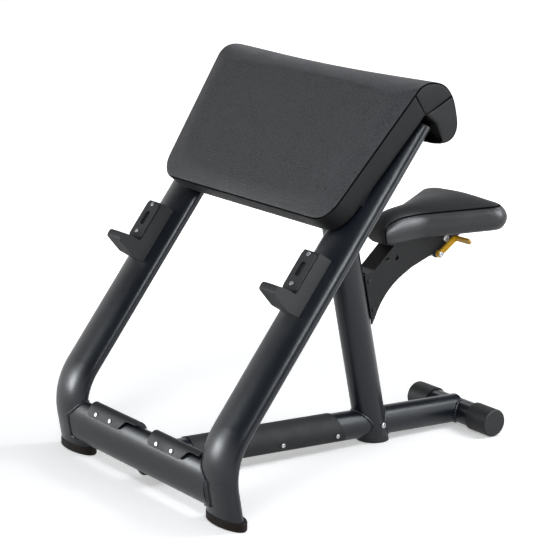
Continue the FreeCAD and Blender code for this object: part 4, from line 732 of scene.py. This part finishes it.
    def half(self, s: float) -> float:
        """Half width of the pad at a run s."""
        share = min(1.0, (s - self.low) / -self.low)
        return self.half_low + (self.half_high - self.half_low) * share

    def back_half(self, s: float) -> float:
        """Half width of the back at a run s, the same all along the fold behind the roll.

        Args:
            s: Run along the skin in metres.

        Returns:
            The half width in metres.
        """
        tight = self.half(self.notch)
        if s <= self.seam_rows[1]:
            return min(self.half(s), tight)
        return tight + (self.half(s) - tight) * min(1.0, self.past_seam(s) * self.widen_pace)

    def place(self, flat: Vector) -> Vector:
        """Fold a point of the flat box into the pad.

        Args:
            flat: Column and row in -1 to 1, and depth in 0 (skin) to 1 (back).

        Returns:
            The point in the part's frame.
        """
        row = (flat.y + 1.0) / 2.0 * (len(self.rows) - 1)
        s = self.rows[round(row)]
        half = self.half(s) * (1.0 - flat.z) + self.back_half(s) * flat.z
        column = (flat.x + 1.0) / 2.0 * self.columns
        if abs(flat.x) > GRID_EDGE:
            x = math.copysign(half, flat.x)
        else:
            x = (half - self.rim) * ((column - 1.0) / (self.columns - 2.0) * 2.0 - 1.0)
        for edge, radius, way in ((self.low, self.corner, 1.0), (self.end, self.end_corner, -1.0)):
            into = (s - edge) * way
            over = abs(x) - (half - radius)
            if into < radius and over > 0.0:
                p = over / radius
                q = (radius - into) / radius
                x = math.copysign(half - radius + radius * p * math.sqrt(1.0 - q * q / 2.0), x)
                s = edge + way * (radius - radius * q * math.sqrt(1.0 - p * p / 2.0))
        point = self.outer(s).lerp(self.inner(s), flat.z)
        return Vector((x, point.y, point.z))

    def mark(self, bm: bmesh.types.BMesh) -> None:
        """Mark the seams of the flat box and give each face its panel.

        Args:
            bm: The flat box, which is changed.
        """
        seam = bm.edges.layers.int.new("seam")
        last = len(self.rows) - 1
        spots = [min(range(last + 1), key=lambda i: abs(self.rows[i] - s)) for s in self.seam_rows]
        seam_levels = [2.0 * i / last - 1.0 for i in spots]
        for edge in bm.edges:
            a, b = edge.verts[0].co, edge.verts[1].co
            flank = on_side(a, b, 0)
            round_face = on_skin(a) and on_skin(b) and (flank or on_side(a, b, 1))
            level = abs(a.y - b.y) < GRID_SAME
            radial = flank and level and any(abs(a.y - y) < GRID_SAME for y in seam_levels)
            edge[seam] = int(round_face or radial)
        for face in bm.faces:
            if all(on_skin(v.co) for v in face.verts):
                face.material_index = Panel.FACE
            elif all(v.co.z > BACK_DEPTH for v in face.verts):
                face.material_index = Panel.LINING
            else:
                face.material_index = Panel.BORDER

    def fold(self, bm: bmesh.types.BMesh) -> list[int]:
        """Fold the marked box into the pad and join the rows that meet behind the roll.

        Args:
            bm: The flat box, which is changed.

        Returns:
            The vertices that are sewn or tacked.
        """
        seam = bm.edges.layers.int["seam"]
        flats = [v.co.copy() for v in bm.verts]
        for vertex, flat in zip(bm.verts, flats):
            vertex.co = self.place(flat)
        sewn = {v for e in bm.edges if e[seam] for v in e.verts}
        held = {spot_key(v.co) for v, flat in zip(bm.verts, flats) if flat.z > BACK_DEPTH or v in sewn}
        bmesh.ops.remove_doubles(bm, verts=bm.verts[:], dist=self.merge)
        face_outward(bm)
        bm.verts.index_update()
        return [v.index for v in bm.verts if spot_key(v.co) in held]

    def in_pocket(self, point: Vector) -> bool:
        """Tell whether a point of the cover lies on its flat back, within the board's outline.

        Args:
            point: The point in the part's frame.

        Returns:
            Whether the board covers it.
        """
        offset = point - self.centre
        run = offset.dot(ALONG)
        level = abs(offset.dot(OUTWARD) - (self.roll - self.thickness)) < self.pocket_slack
        along = self.low + self.rim / 2.0 < run < self.board_top + self.pocket_slack
        return level and along and abs(point.x) < self.half(run) - self.rim / 2.0

    def open_back(self, made: bpy.types.Object) -> None:
        """Sink the pocket that holds the backing board into the back of the cover.

        Args:
            made: The cover.
        """
        bm = bmesh.new()
        bm.from_mesh(made.data)
        pocket = [face for face in bm.faces if all(self.in_pocket(v.co) for v in face.verts)]
        bmesh.ops.inset_region(bm, faces=pocket, thickness=self.pocket_lip, use_even_offset=True)
        deep = {v for face in pocket for v in face.verts}
        bmesh.ops.translate(bm, verts=list(deep), vec=OUTWARD * self.board_thickness)
        bm.to_mesh(made.data)
        bm.free()

    def build(self, shop: Workshop) -> bpy.types.Object:
        """Cut, fill, sew and dress the pad's cover.

        Args:
            shop: Source of the finishes.

        Returns:
            The finished pad.
        """
        bm = boxed_grid(self.columns, len(self.rows) - 1, self.wall_cuts)
        self.mark(bm)
        pins = self.fold(bm)
        # The border hide's dark colour is painted shade of the side strips
        hides = [shop.finish(finish) for finish in (FACE_HIDE, SHADED_BORDER_HIDE, SEAM_THREAD_AND_SHADE, LINING)]
        made = new_object("arm_pad_cover", bm, hides)
        puff(made, pins, self.filling)
        self.open_back(made)
        sew(made, self.crease)
        soften(made)
        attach(made, "bench_frame")
        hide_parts("arm_pad")
        return made


@dataclass
class SeatCushion:
    """Saddle-shaped seat: a dotted top panel sewn to a deep drawn border.

    Its own frame has y from the nose to the rear and z up from the board, turned by the pitch.
    """

    origin: Vector = field(default_factory=lambda: Vector((0.0, 214.84 * MM, 475.78 * MM)))
    pitch: float = math.radians(6.5)
    base: float = 4.3 * MM
    height: float = 59.0 * MM
    crown: float = 16.0 * MM
    tuck: float = 14.0 * MM
    nose_half: float = 46.0 * MM
    nose_front: float = -43.0 * MM
    nose_radius: float = 20.0 * MM
    nose_share: float = 0.17
    nose_drop: float = 13.0 * MM
    waist_half: float = 53.0 * MM
    waist_run: float = 64.0 * MM
    waist_radius: float = 105.0 * MM
    rear_half: float = 172.0 * MM
    rear_run: float = 267.0 * MM
    rear_middle: float = 273.0 * MM
    rear_radius: float = 30.0 * MM
    rear_sweep: float = 900.0 * MM
    # Share of an inset that a rear corner's radius loses
    corner_loss: float = 0.4
    arc_steps: int = 16
    even_rounds: int = 2
    even_factor: float = 0.5
    columns: int = 22
    length_rows: int = 30
    wall_cuts: int = 3
    filling: Filling = Filling(4.0 * MM, 2.5)
    crease: Crease = Crease(1.1 * MM, 1.5 * MM)

    def levels(self) -> list[tuple[float, float]]:
        """List the rings of the border from the top seam down.

        Returns:
            Each ring's inset in metres and its share of the height.
        """
        return [
            (self.tuck * 1.1, 1.0),
            (self.tuck * 0.4, 0.84),
            (0.0, 0.54),
            (self.tuck * 0.25, 0.22),
            (self.tuck, 0.0),
        ]

    def outline(self, inset: float) -> list[tuple[float, float, float]]:
        """Corners of the plan drawn in by an inset, from the left nose corner.

        Args:
            inset: How far the plan is drawn in, in metres.

        Returns:
            The corners as (x, y, radius) in metres.
        """
        flare = (self.rear_half - self.waist_half) / (self.rear_run - self.waist_run)
        side = math.sqrt(flare * flare + 1.0)
        nose = self.nose_half - inset
        front = self.nose_front + inset
        waist = self.waist_half - inset
        rear = self.rear_half - inset * (side + flare)
        back = self.rear_run - inset
        corner = self.rear_radius - inset * self.corner_loss
        return [
            (-nose, front, self.nose_radius),
            (nose, front, self.nose_radius),
            (waist, self.waist_run, self.waist_radius),
            (rear, back, corner),
            (0.0, self.rear_middle - inset, self.rear_sweep),
            (-rear, back, corner),
            (-waist, self.waist_run, self.waist_radius),
        ]

    def edge_line(self, inset: float) -> list[list[Vector]]:
        """Split the rounded plan into front, right, rear and left runs.

        Args:
            inset: How far the plan is drawn in, in metres.

        Returns:
            Four lists of points, each from corner middle to corner middle.
        """
        corners = self.outline(inset)
        line: list[Vector] = []
        middles: list[int] = []
        for i, (x, y, radius) in enumerate(corners):
            here = Vector((x, y))
            before = (Vector(corners[i - 1][:2]) - here).normalized()
            after = (Vector(corners[(i + 1) % len(corners)][:2]) - here).normalized()
            half = before.angle(after) / 2.0
            reach = radius / math.tan(half)
            hub = here + (before + after).normalized() * (radius / math.sin(half))
            start = here + before * reach - hub
            stop = here + after * reach - hub
            swing = start.angle_signed(stop)
            for k in range(self.arc_steps + 1):
                line.append(hub + Matrix.Rotation(-swing * k / self.arc_steps, 2) @ start)
            middles.append(len(line) - 1 - self.arc_steps // 2)
        left_nose, right_nose, _, right_rear, _, left_rear, _ = middles
        marks = [left_nose, right_nose, right_rear, left_rear]
        runs = []
        for a, b in zip(marks, marks[1:] + marks[:1]):
            end = b if b > a else b + len(line)
            runs.append([line[k % len(line)] for k in range(a, end + 1)])
        return runs

    @staticmethod
    def along(run: Sequence[Vector], share: float) -> Vector:
        """Point at a share of a run's length.

        Args:
            run: Points of the run.
            share: Share of its length, from 0 to 1.

        Returns:
            The point.
        """
        lengths = [(b - a).length for a, b in zip(run, run[1:])]
        left = share * sum(lengths)
        for (a, b), length in zip(zip(run, run[1:]), lengths):
            if left <= length:
                return a.lerp(b, left / length if length else 0.0)
            left -= length
        return run[-1].copy()

    def plan(self, runs: Sequence[Sequence[Vector]], u: float, v: float) -> Vector:
        """Point of the plan patch at u across and v along.

        Args:
            runs: Front, right, rear and left runs of the outline.
            u: 0 at the left side, 1 at the right.
            v: 0 at the nose, 1 at the rear.

        Returns:
            The plan point.
        """
        front, right, rear, left = runs
        low = self.along(front, u)
        high = self.along(rear, 1.0 - u)
        near = self.along(left, 1.0 - v)
        far = self.along(right, v)
        nose = front[0] * ((1 - u) * (1 - v)) + front[-1] * (u * (1 - v))
        corners = nose + rear[-1] * ((1 - u) * v) + rear[0] * (u * v)
        return low * (1 - v) + high * v + near * (1 - u) + far * u - corners

    def world(self, x: float, y: float, z: float) -> Vector:
        """Point of the seat's own frame in the part's frame."""
        c, s = math.cos(self.pitch), math.sin(self.pitch)
        return self.origin + Vector((x, y * c - z * s, y * s + z * c))

    @staticmethod
    def mark(bm: bmesh.types.BMesh) -> None:
        """Mark the seams of the flat box and give each face its panel.

        Args:
            bm: The flat box, which is changed.
        """
        seam = bm.edges.layers.int.new("seam")
        for edge in bm.edges:
            a, b = edge.verts[0].co, edge.verts[1].co
            flank = on_side(a, b, 0)
            rear = on_side(a, b, 1) and a.y > 0.0
            top = on_skin(a) and on_skin(b) and (flank or rear)
            nose = flank and max(a.y, b.y) < -GRID_EDGE
            edge[seam] = int(top or nose)
        for face in bm.faces:
            # The nose front takes the dark top hide: the top panel runs down over the nose between its seams,
            # and its darkness is also painted shade of the nose under the pad
            top = all(on_skin(v.co) for v in face.verts)
            nose = all(v.co.y < -GRID_EDGE for v in face.verts)
            face.material_index = Panel.FACE if top or nose else Panel.BORDER

    def shape(self, bm: bmesh.types.BMesh) -> list[int]:
        """Draw the marked box over the cushion's form and even it out.

        Args:
            bm: The flat box, which is changed.

        Returns:
            The vertices that are sewn or tacked.
        """
        levels = self.levels()
        runs = [self.edge_line(inset) for inset, _ in levels]
        flats = [v.co.copy() for v in bm.verts]
        for vertex, flat in zip(bm.verts, flats):
            level = round(flat.z * (self.wall_cuts + 1))
            share = levels[level][1]
            u, v = (flat.x + 1.0) / 2.0, (flat.y + 1.0) / 2.0
            spot = self.plan(runs[level], u, v)
            fall = self.nose_drop * max(0.0, 1.0 - v / self.nose_share) ** 2
            lift = self.base + self.height * share - fall * share ** 3
            if level == 0:
                lift += self.crown * (1.0 - flat.x ** 2) * (1.0 - flat.y ** 8)
            vertex.co = self.world(spot.x, spot.y, lift)
        face_outward(bm)
        bm.verts.index_update()
        seam = bm.edges.layers.int["seam"]
        sewn = {v.index for e in bm.edges if e[seam] for v in e.verts}
        pins = [i for i, flat in enumerate(flats) if flat.z > BACK_DEPTH or i in sewn]
        held = set(pins)
        free = [v for v in bm.verts if v.index not in held]
        for _ in range(self.even_rounds):
            bmesh.ops.smooth_vert(
                bm, verts=free, factor=self.even_factor, use_axis_x=True, use_axis_y=True, use_axis_z=True)
        return pins

    def build(self, shop: Workshop) -> bpy.types.Object:
        """Cut, fill, sew and dress the seat's cover.

        Args:
            shop: Source of the finishes.

        Returns:
            The finished cushion.
        """
        bm = boxed_grid(self.columns, self.length_rows, self.wall_cuts)
        self.mark(bm)
        pins = self.shape(bm)
        hides = [shop.finish(finish) for finish in (SEAT_TOP_HIDE, SEAT_SIDE_HIDE, SEAM_THREAD_AND_SHADE)]
        made = new_object("seat_cover", bm, hides)
        puff(made, pins, self.filling)
        sew(made, self.crease)
        soften(made)
        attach(made, "seat_carriage")
        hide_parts("seat_cushion")
        return made


@dataclass(frozen=True)
class Joint:
    """A welded joint: a tube whose end meets another tube, or stops short of it after a reach."""

    name: str
    target: str
    start: Vector
    aim: Vector
    half_across: float
    half_up: float
    reach: float = 0.0


@dataclass
class Welds:
    """Beads of weld metal round the ends of the frame's tubes, under the same paint."""

    bead: float = 3.6 * MM
    fillet: float = 18.0 * MM
    ripple: float = 0.16
    ripple_turn: float = 2.1
    # Share of a tube's half width by which a fill stands off its skin
    stand_off: float = 0.004
    stops: int = 96
    base_drop: float = 22.0 * MM
    base_run: float = 908.7 * MM
    base_radius: float = 34.5 * MM
    cross_station: float = 806.4 * MM
    cross_radius: float = 19.0 * MM
    beam_half_across: float = 23.0 * MM
    beam_half_up: float = 50.0 * MM
    beam_reach: float = 266.0 * MM
    # Points inside the tubes from which their skins are followed
    base_point: Vector = field(default_factory=lambda: Vector((0.0, 50.0, 47.0)) * MM)
    rear_point: Vector = field(default_factory=lambda: Vector((0.0, 340.0, 39.7)) * MM)
    beam_point: Vector = field(default_factory=lambda: Vector((0.0, -459.23, 82.0)) * MM)

    def joints(self) -> list[Joint]:
        """List the joints of the frame.

        Returns:
            Every joint, with the line that its tube follows.
        """
        fall = math.atan2(self.base_drop, self.base_run)
        back = Vector((0.0, math.cos(fall), -math.sin(fall)))
        cross = BEND + ALONG * self.cross_station
        sides = (("right", ACROSS), ("left", -ACROSS))
        beam_ends = [
            Joint("front_beam_" + side, side + "_upright", self.beam_point, aim, self.beam_half_across,
                  self.beam_half_up, self.beam_reach)
            for side, aim in sides
        ]
        cross_ends = [
            Joint("crossmember_" + side, side + "_upright", cross, aim, self.cross_radius, self.cross_radius)
            for side, aim in sides
        ]
        base_ends = [
            Joint(name, target, start, aim, self.base_radius, self.base_radius)
            for name, target, start, aim in (
                ("base_front", "front_beam", self.base_point, -back),
                ("base_post", "seat_post", self.base_point, back),
                ("rear_post", "seat_post", self.rear_point, -back),
                ("rear_crossbar", "rear_crossbar", self.rear_point, back),
            )
        ]
        return beam_ends + cross_ends + base_ends

    def path(self, joint: Joint) -> list[tuple[Vector, Vector]]:
        """Follow a tube's skin to the tube that it meets.

        Args:
            joint: The joint.

        Returns:
            Pairs of a point on the tube's own skin and the point on the other tube's skin that it runs into.
        """
        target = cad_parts[joint.target]
        inverse = target.matrix_world.inverted()
        across = Vector((0.0, 1.0, 0.0)) if joint.aim.x else ACROSS
        upward = joint.aim.cross(across).normalized()
        line = []
        for k in range(self.stops):
            turn = math.tau * k / self.stops
            offset = across * (joint.half_across * math.cos(turn)) + upward * (joint.half_up * math.sin(turn))
            start = joint.start + offset
            hit, point, _, _ = target.ray_cast(inverse @ start, inverse.to_3x3() @ joint.aim)
            if not hit and joint.reach:
                beyond = start + joint.aim * (joint.reach + self.fillet)
                hit, point, _, _ = target.closest_point_on_mesh(inverse @ beyond)
            if hit:
                spot = target.matrix_world @ point
                near = min(joint.reach, (spot - start).length - self.bead)
                line.append((start + joint.aim * near + offset * self.stand_off, spot))
        return line

    @staticmethod
    def fill(line: Sequence[tuple[Vector, Vector]]) -> bmesh.types.BMesh:
        """Draw weld metal from the end of a tube to the tube that it meets.

        Args:
            line: Pairs of points on both tubes.

        Returns:
            The strip between them.
        """
        bm = bmesh.new()
        for side in (0, 1):
            ring = bmesh.ops.create_circle(bm, segments=len(line), radius=1.0)["verts"]
            for vertex, pair in zip(ring, line):
                vertex.co = pair[side]
        bmesh.ops.bridge_loops(bm, edges=bm.edges[:])
        bmesh.ops.recalc_face_normals(bm, faces=bm.faces[:])
        return bm

    def lay(self, name: str, line: Sequence[tuple[Vector, Vector]]) -> bmesh.types.BMesh:
        """Lay a rippled bead along the skin that a tube runs into.

        Args:
            name: The joint's name.
            line: Pairs of points on both tubes.

        Returns:
            The bead.
        """
        curve = bpy.data.curves.new(name, "CURVE")
        curve.dimensions = "3D"
        curve.bevel_depth = self.bead
        curve.bevel_resolution = 2
        spline = curve.splines.new("POLY")
        spline.points.add(len(line) - 1)
        spline.use_cyclic_u = len(line) == self.stops
        for k, (point, (_, spot)) in enumerate(zip(spline.points, line)):
            point.co = (*spot, 1.0)
            point.radius = 1.0 + self.ripple * math.sin(k * self.ripple_turn)
        rail = bpy.data.objects.new(name, curve)
        mesh = bpy.data.meshes.new_from_object(rail)
        bpy.data.objects.remove(rail)
        bpy.data.curves.remove(curve)
        bm = bmesh.new()
        bm.from_mesh(mesh)
        bpy.data.meshes.remove(mesh)
        bmesh.ops.recalc_face_normals(bm, faces=bm.faces[:])
        return bm

    def build(self, shop: Workshop) -> list[bpy.types.Object]:
        """Lay every bead, and fill the ends that stop short.

        Args:
            shop: Source of the finishes.

        Returns:
            The beads and fills.
        """
        paint = [shop.finish(POWDER)]
        made = []
        for joint in self.joints():
            line = self.path(joint)
            if len(line) < self.stops // 2:
                LOG.info("%s: no bead", joint.name)
                continue
            made.append(new_object("weld_" + joint.name, self.lay(joint.name, line), paint))
            if joint.reach:
                made.append(new_object("fill_" + joint.name, self.fill(line), paint))
        for bead in made:
            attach(bead, "bench_frame")
        return made


@dataclass(frozen=True)
class SoftBox:
    """A soft box: place and size in metres, brightness, and which surfaces it reaches."""

    name: str
    place: tuple[float, float, float]
    size: tuple[float, float]
    glare: float
    mirrored: bool = True
    lights: bool = True


SOFT_BOXES = (
    SoftBox("left_box", (-2.2, -2.6, 0.66), (0.7, 0.8), 18.0, lights=False),
    SoftBox("left_card", (-2.2, -2.6, 1.5), (0.8, 1.0), 4.0, lights=False),
    SoftBox("key_box", (1.3, -1.7, 2.3), (0.8, 0.8), 13.0),
    SoftBox("right_box", (2.7, 0.85, 1.5), (1.4, 1.9), 3.3, lights=False),
    SoftBox("back_box", (1.1, 2.3, 2.7), (1.2, 1.2), 6.5),
    SoftBox("fill_box", (3.4, -0.6, 1.1), (2.2, 1.8), 2.0, mirrored=False),
    SoftBox("top_box", (0.7, 1.9, 3.3), (1.5, 1.5), 5.0, mirrored=False),
    SoftBox("corner_card", (2.48, 1.2, 2.09), (1.9, 1.1), 13.0, lights=False),
    SoftBox("roll_card", (-3.0, 1.5, 2.9), (1.3, 1.3), 2.2, lights=False),
)


@dataclass
class Studio:
    """Pale floor, soft lights and the camera at the photograph's view."""

    eye: Vector = field(default_factory=lambda: Vector((3.71683, -2.84292, 1.52111)))
    azimuth: float = math.radians(53.53)
    elevation: float = math.radians(13.36)
    roll: float = math.radians(1.5)
    focal_pixels: float = 2097.41
    photo_pixels: float = 560.0
    sensor_mm: float = 36.0
    view_depth: float = 50.0
    lamp_aim: tuple[float, float, float] = (0.0, 0.0, 0.45)
    lamp_tint: tuple[float, float, float] = (0.93, 0.97, 1.0)
    floor_half: float = 9.0
    floor_drop: float = 0.6 * MM
    floor_dark: tuple[float, float, float, float] = (0.25, 0.25, 0.25, 1.0)
    floor_pale: tuple[float, float, float, float] = (0.9, 0.9, 0.9, 1.0)
    # Glow of the floor by the bench, and the distances over which it rises to white
    glow: float = 0.36
    glow_fade: tuple[float, float] = (0.7, 2.2)
    mirror_share: float = 0.72
    soft: float = 0.36
    # The white wall: the camera's side, where mirrors see it dimmed, and the heights over which it fades
    dim_side: tuple[float, float, float] = (0.795, -0.607, 0.0)
    dim_fade: tuple[float, float] = (0.75, 0.95)
    dim_level: float = 0.3
    wall_fade: tuple[float, float] = (0.22, 0.58)
    wall_top: float = 0.05

    def camera(self) -> None:
        """Set the camera where the photograph was taken from."""
        a, e = self.azimuth, self.elevation
        ahead = Vector((-math.sin(a) * math.cos(e), math.cos(a) * math.cos(e), -math.sin(e)))
        right = Vector((math.cos(a), math.sin(a), 0.0))
        down = ahead.cross(right)
        across = right * math.cos(self.roll) - down * math.sin(self.roll)
        fall = right * math.sin(self.roll) + down * math.cos(self.roll)
        turn = Matrix((across, -fall, -ahead)).transposed().to_4x4()
        data = bpy.data.cameras.new("photo_camera")
        data.lens = self.focal_pixels / self.photo_pixels * self.sensor_mm
        data.sensor_width = self.sensor_mm
        data.clip_end = self.view_depth
        camera = bpy.data.objects.new("photo_camera", data)
        camera.matrix_world = Matrix.Translation(self.eye) @ turn
        bpy.context.scene.collection.objects.link(camera)
        bpy.context.scene.camera = camera

    def lamp(self, box: SoftBox) -> None:
        """Hang one soft box that faces the bench.

        Args:
            box: The soft box.
        """
        data = bpy.data.lights.new(box.name, "AREA")
        data.shape = "RECTANGLE"
        data.size, data.size_y = box.size
        data.color = self.lamp_tint
        data.energy = box.glare * math.pi * box.size[0] * box.size[1]
        lamp = bpy.data.objects.new(box.name, data)
        spot = Vector(box.place)
        lamp.location = spot
        lamp.rotation_euler = (Vector(self.lamp_aim) - spot).to_track_quat("-Z", "Y").to_euler()
        lamp.visible_camera = False
        lamp.visible_glossy = box.mirrored
        lamp.visible_diffuse = box.lights
        bpy.context.scene.collection.objects.link(lamp)

    @staticmethod
    def seen(tree: bpy.types.NodeTree) -> bpy.types.NodeSocket:
        """Add the nodes that tell rays which show the white surroundings from rays that only light.

        Args:
            tree: Node tree that gets the nodes.

        Returns:
            1 for camera, glossy and transmission rays, else 0.
        """
        path = add_node(tree, "ShaderNodeLightPath").outputs
        direct = add_node(
            tree, "ShaderNodeMath",
            {0: path["Is Camera Ray"], 1: path["Is Glossy Ray"]},
            operation="MAXIMUM",
        )
        through = add_node(
            tree, "ShaderNodeMath",
            {0: direct.outputs[0], 1: path["Is Transmission Ray"]},
            operation="MAXIMUM",
        )
        return through.outputs[0]

    def floor_material(self) -> bpy.types.Material:
        """Make the floor's material, which glows white to the camera away from the bench.

        Returns:
            The material, clear from below.
        """
        material = bpy.data.materials.new("pale_floor")
        material.use_nodes = True
        tree = material.node_tree
        tree.nodes.clear()
        seen = self.seen(tree)
        place = add_node(tree, "ShaderNodeTexCoord").outputs["Object"]
        reach = add_node(tree, "ShaderNodeVectorMath", {0: place}, operation="LENGTH")
        fade = add_node(
            tree, "ShaderNodeMapRange",
            {
                "Value": reach.outputs["Value"],
                "From Min": self.glow_fade[0],
                "From Max": self.glow_fade[1],
                "To Min": self.glow,
                "To Max": 1.0,
            },
            interpolation_type="SMOOTHSTEP",
        )
        looked = add_node(tree, "ShaderNodeLightPath").outputs["Is Camera Ray"]
        shown = add_node(tree, "ShaderNodeMath", {0: seen, 1: self.mirror_share}, operation="MULTIPLY")
        level = add_node(tree, "ShaderNodeMath", {0: shown.outputs[0], 1: looked}, operation="MAXIMUM")
        share = add_node(
            tree, "ShaderNodeMath",
            {0: level.outputs[0], 1: fade.outputs[0]},
            operation="MULTIPLY",
        )
        bounce = add_node(
            tree, "ShaderNodeMix",
            {0: level.outputs[0], 6: self.floor_dark, 7: self.floor_pale},
            data_type="RGBA",
        )
        matt = add_node(tree, "ShaderNodeBsdfDiffuse", {"Color": bounce.outputs[2]})
        glow = add_node(tree, "ShaderNodeEmission", {"Color": WHITE, "Strength": share.outputs[0]})
        top = add_node(tree, "ShaderNodeAddShader", {0: matt.outputs[0], 1: glow.outputs[0]})
        clear = add_node(tree, "ShaderNodeBsdfTransparent")
        under = add_node(tree, "ShaderNodeNewGeometry").outputs["Backfacing"]
        both = add_node(tree, "ShaderNodeMixShader", {0: under, 1: top.outputs[0], 2: clear.outputs[0]})
        add_node(tree, "ShaderNodeOutputMaterial", {"Surface": both.outputs[0]})
        return material

    def floor(self) -> None:
        """Lay the pale floor, which shows only from above."""
        bm = bmesh.new()
        bmesh.ops.create_grid(bm, x_segments=1, y_segments=1, size=self.floor_half)
        bmesh.ops.translate(bm, verts=bm.verts[:], vec=(0.0, 0.0, -self.floor_drop))
        new_object("floor", bm, [self.floor_material()])

    def sky(self) -> None:
        """Surround the bench with plain soft light and a white wall that fades upward."""
        world = bpy.data.worlds.new("studio")
        world.use_nodes = True
        tree = world.node_tree
        tree.nodes.clear()
        seen = self.seen(tree)
        place = add_node(tree, "ShaderNodeTexCoord").outputs["Generated"]
        facing = add_node(
            tree, "ShaderNodeVectorMath",
            {0: place, 1: self.dim_side},
            operation="DOT_PRODUCT",
        )
        side = add_node(
            tree, "ShaderNodeMapRange",
            {
                "Value": facing.outputs["Value"],
                "From Min": self.dim_fade[0],
                "From Max": self.dim_fade[1],
                "To Min": 1.0,
                "To Max": self.dim_level,
            },
            interpolation_type="SMOOTHSTEP",
        )
        height = add_node(tree, "ShaderNodeSeparateXYZ", {0: place}).outputs["Z"]
        wall = add_node(
            tree, "ShaderNodeMapRange",
            {
                "Value": height,
                "From Min": self.wall_fade[0],
                "From Max": self.wall_fade[1],
                "To Min": 1.0,
                "To Max": self.wall_top,
            },
            interpolation_type="SMOOTHSTEP",
        )
        lit = add_node(
            tree, "ShaderNodeMath",
            {0: side.outputs[0], 1: wall.outputs[0]},
            operation="MULTIPLY",
        )
        looked = add_node(tree, "ShaderNodeLightPath").outputs["Is Camera Ray"]
        level = add_node(tree, "ShaderNodeMath", {0: lit.outputs[0], 1: looked}, operation="MAXIMUM")
        soft = add_node(tree, "ShaderNodeBackground", {"Color": WHITE, "Strength": self.soft})
        white = add_node(tree, "ShaderNodeBackground", {"Color": WHITE, "Strength": level.outputs[0]})
        mix = add_node(tree, "ShaderNodeMixShader", {0: seen, 1: soft.outputs[0], 2: white.outputs[0]})
        add_node(tree, "ShaderNodeOutputWorld", {"Surface": mix.outputs[0]})
        bpy.context.scene.world = world

    def build(self) -> None:
        """Put up camera, floor and light."""
        self.camera()
        self.floor()
        self.sky()
        for box in SOFT_BOXES:
            self.lamp(box)
        bpy.context.scene.view_settings.view_transform = "Standard"


def main() -> None:
    """Build every piece in order and report it."""
    logging.basicConfig(level=logging.INFO, format="%(message)s")
    shop = Workshop()
    shop.dress_nodes()
    for make in (ArmPad(), SeatCushion()):
        made = make.build(shop)
        LOG.info("%s: %d faces", made.name, len(made.data.polygons))
    for bead in Welds().build(shop):
        LOG.info("%s: %d faces", bead.name, len(bead.data.polygons))
    Studio().build()


if __name__ == "__main__":
    main()
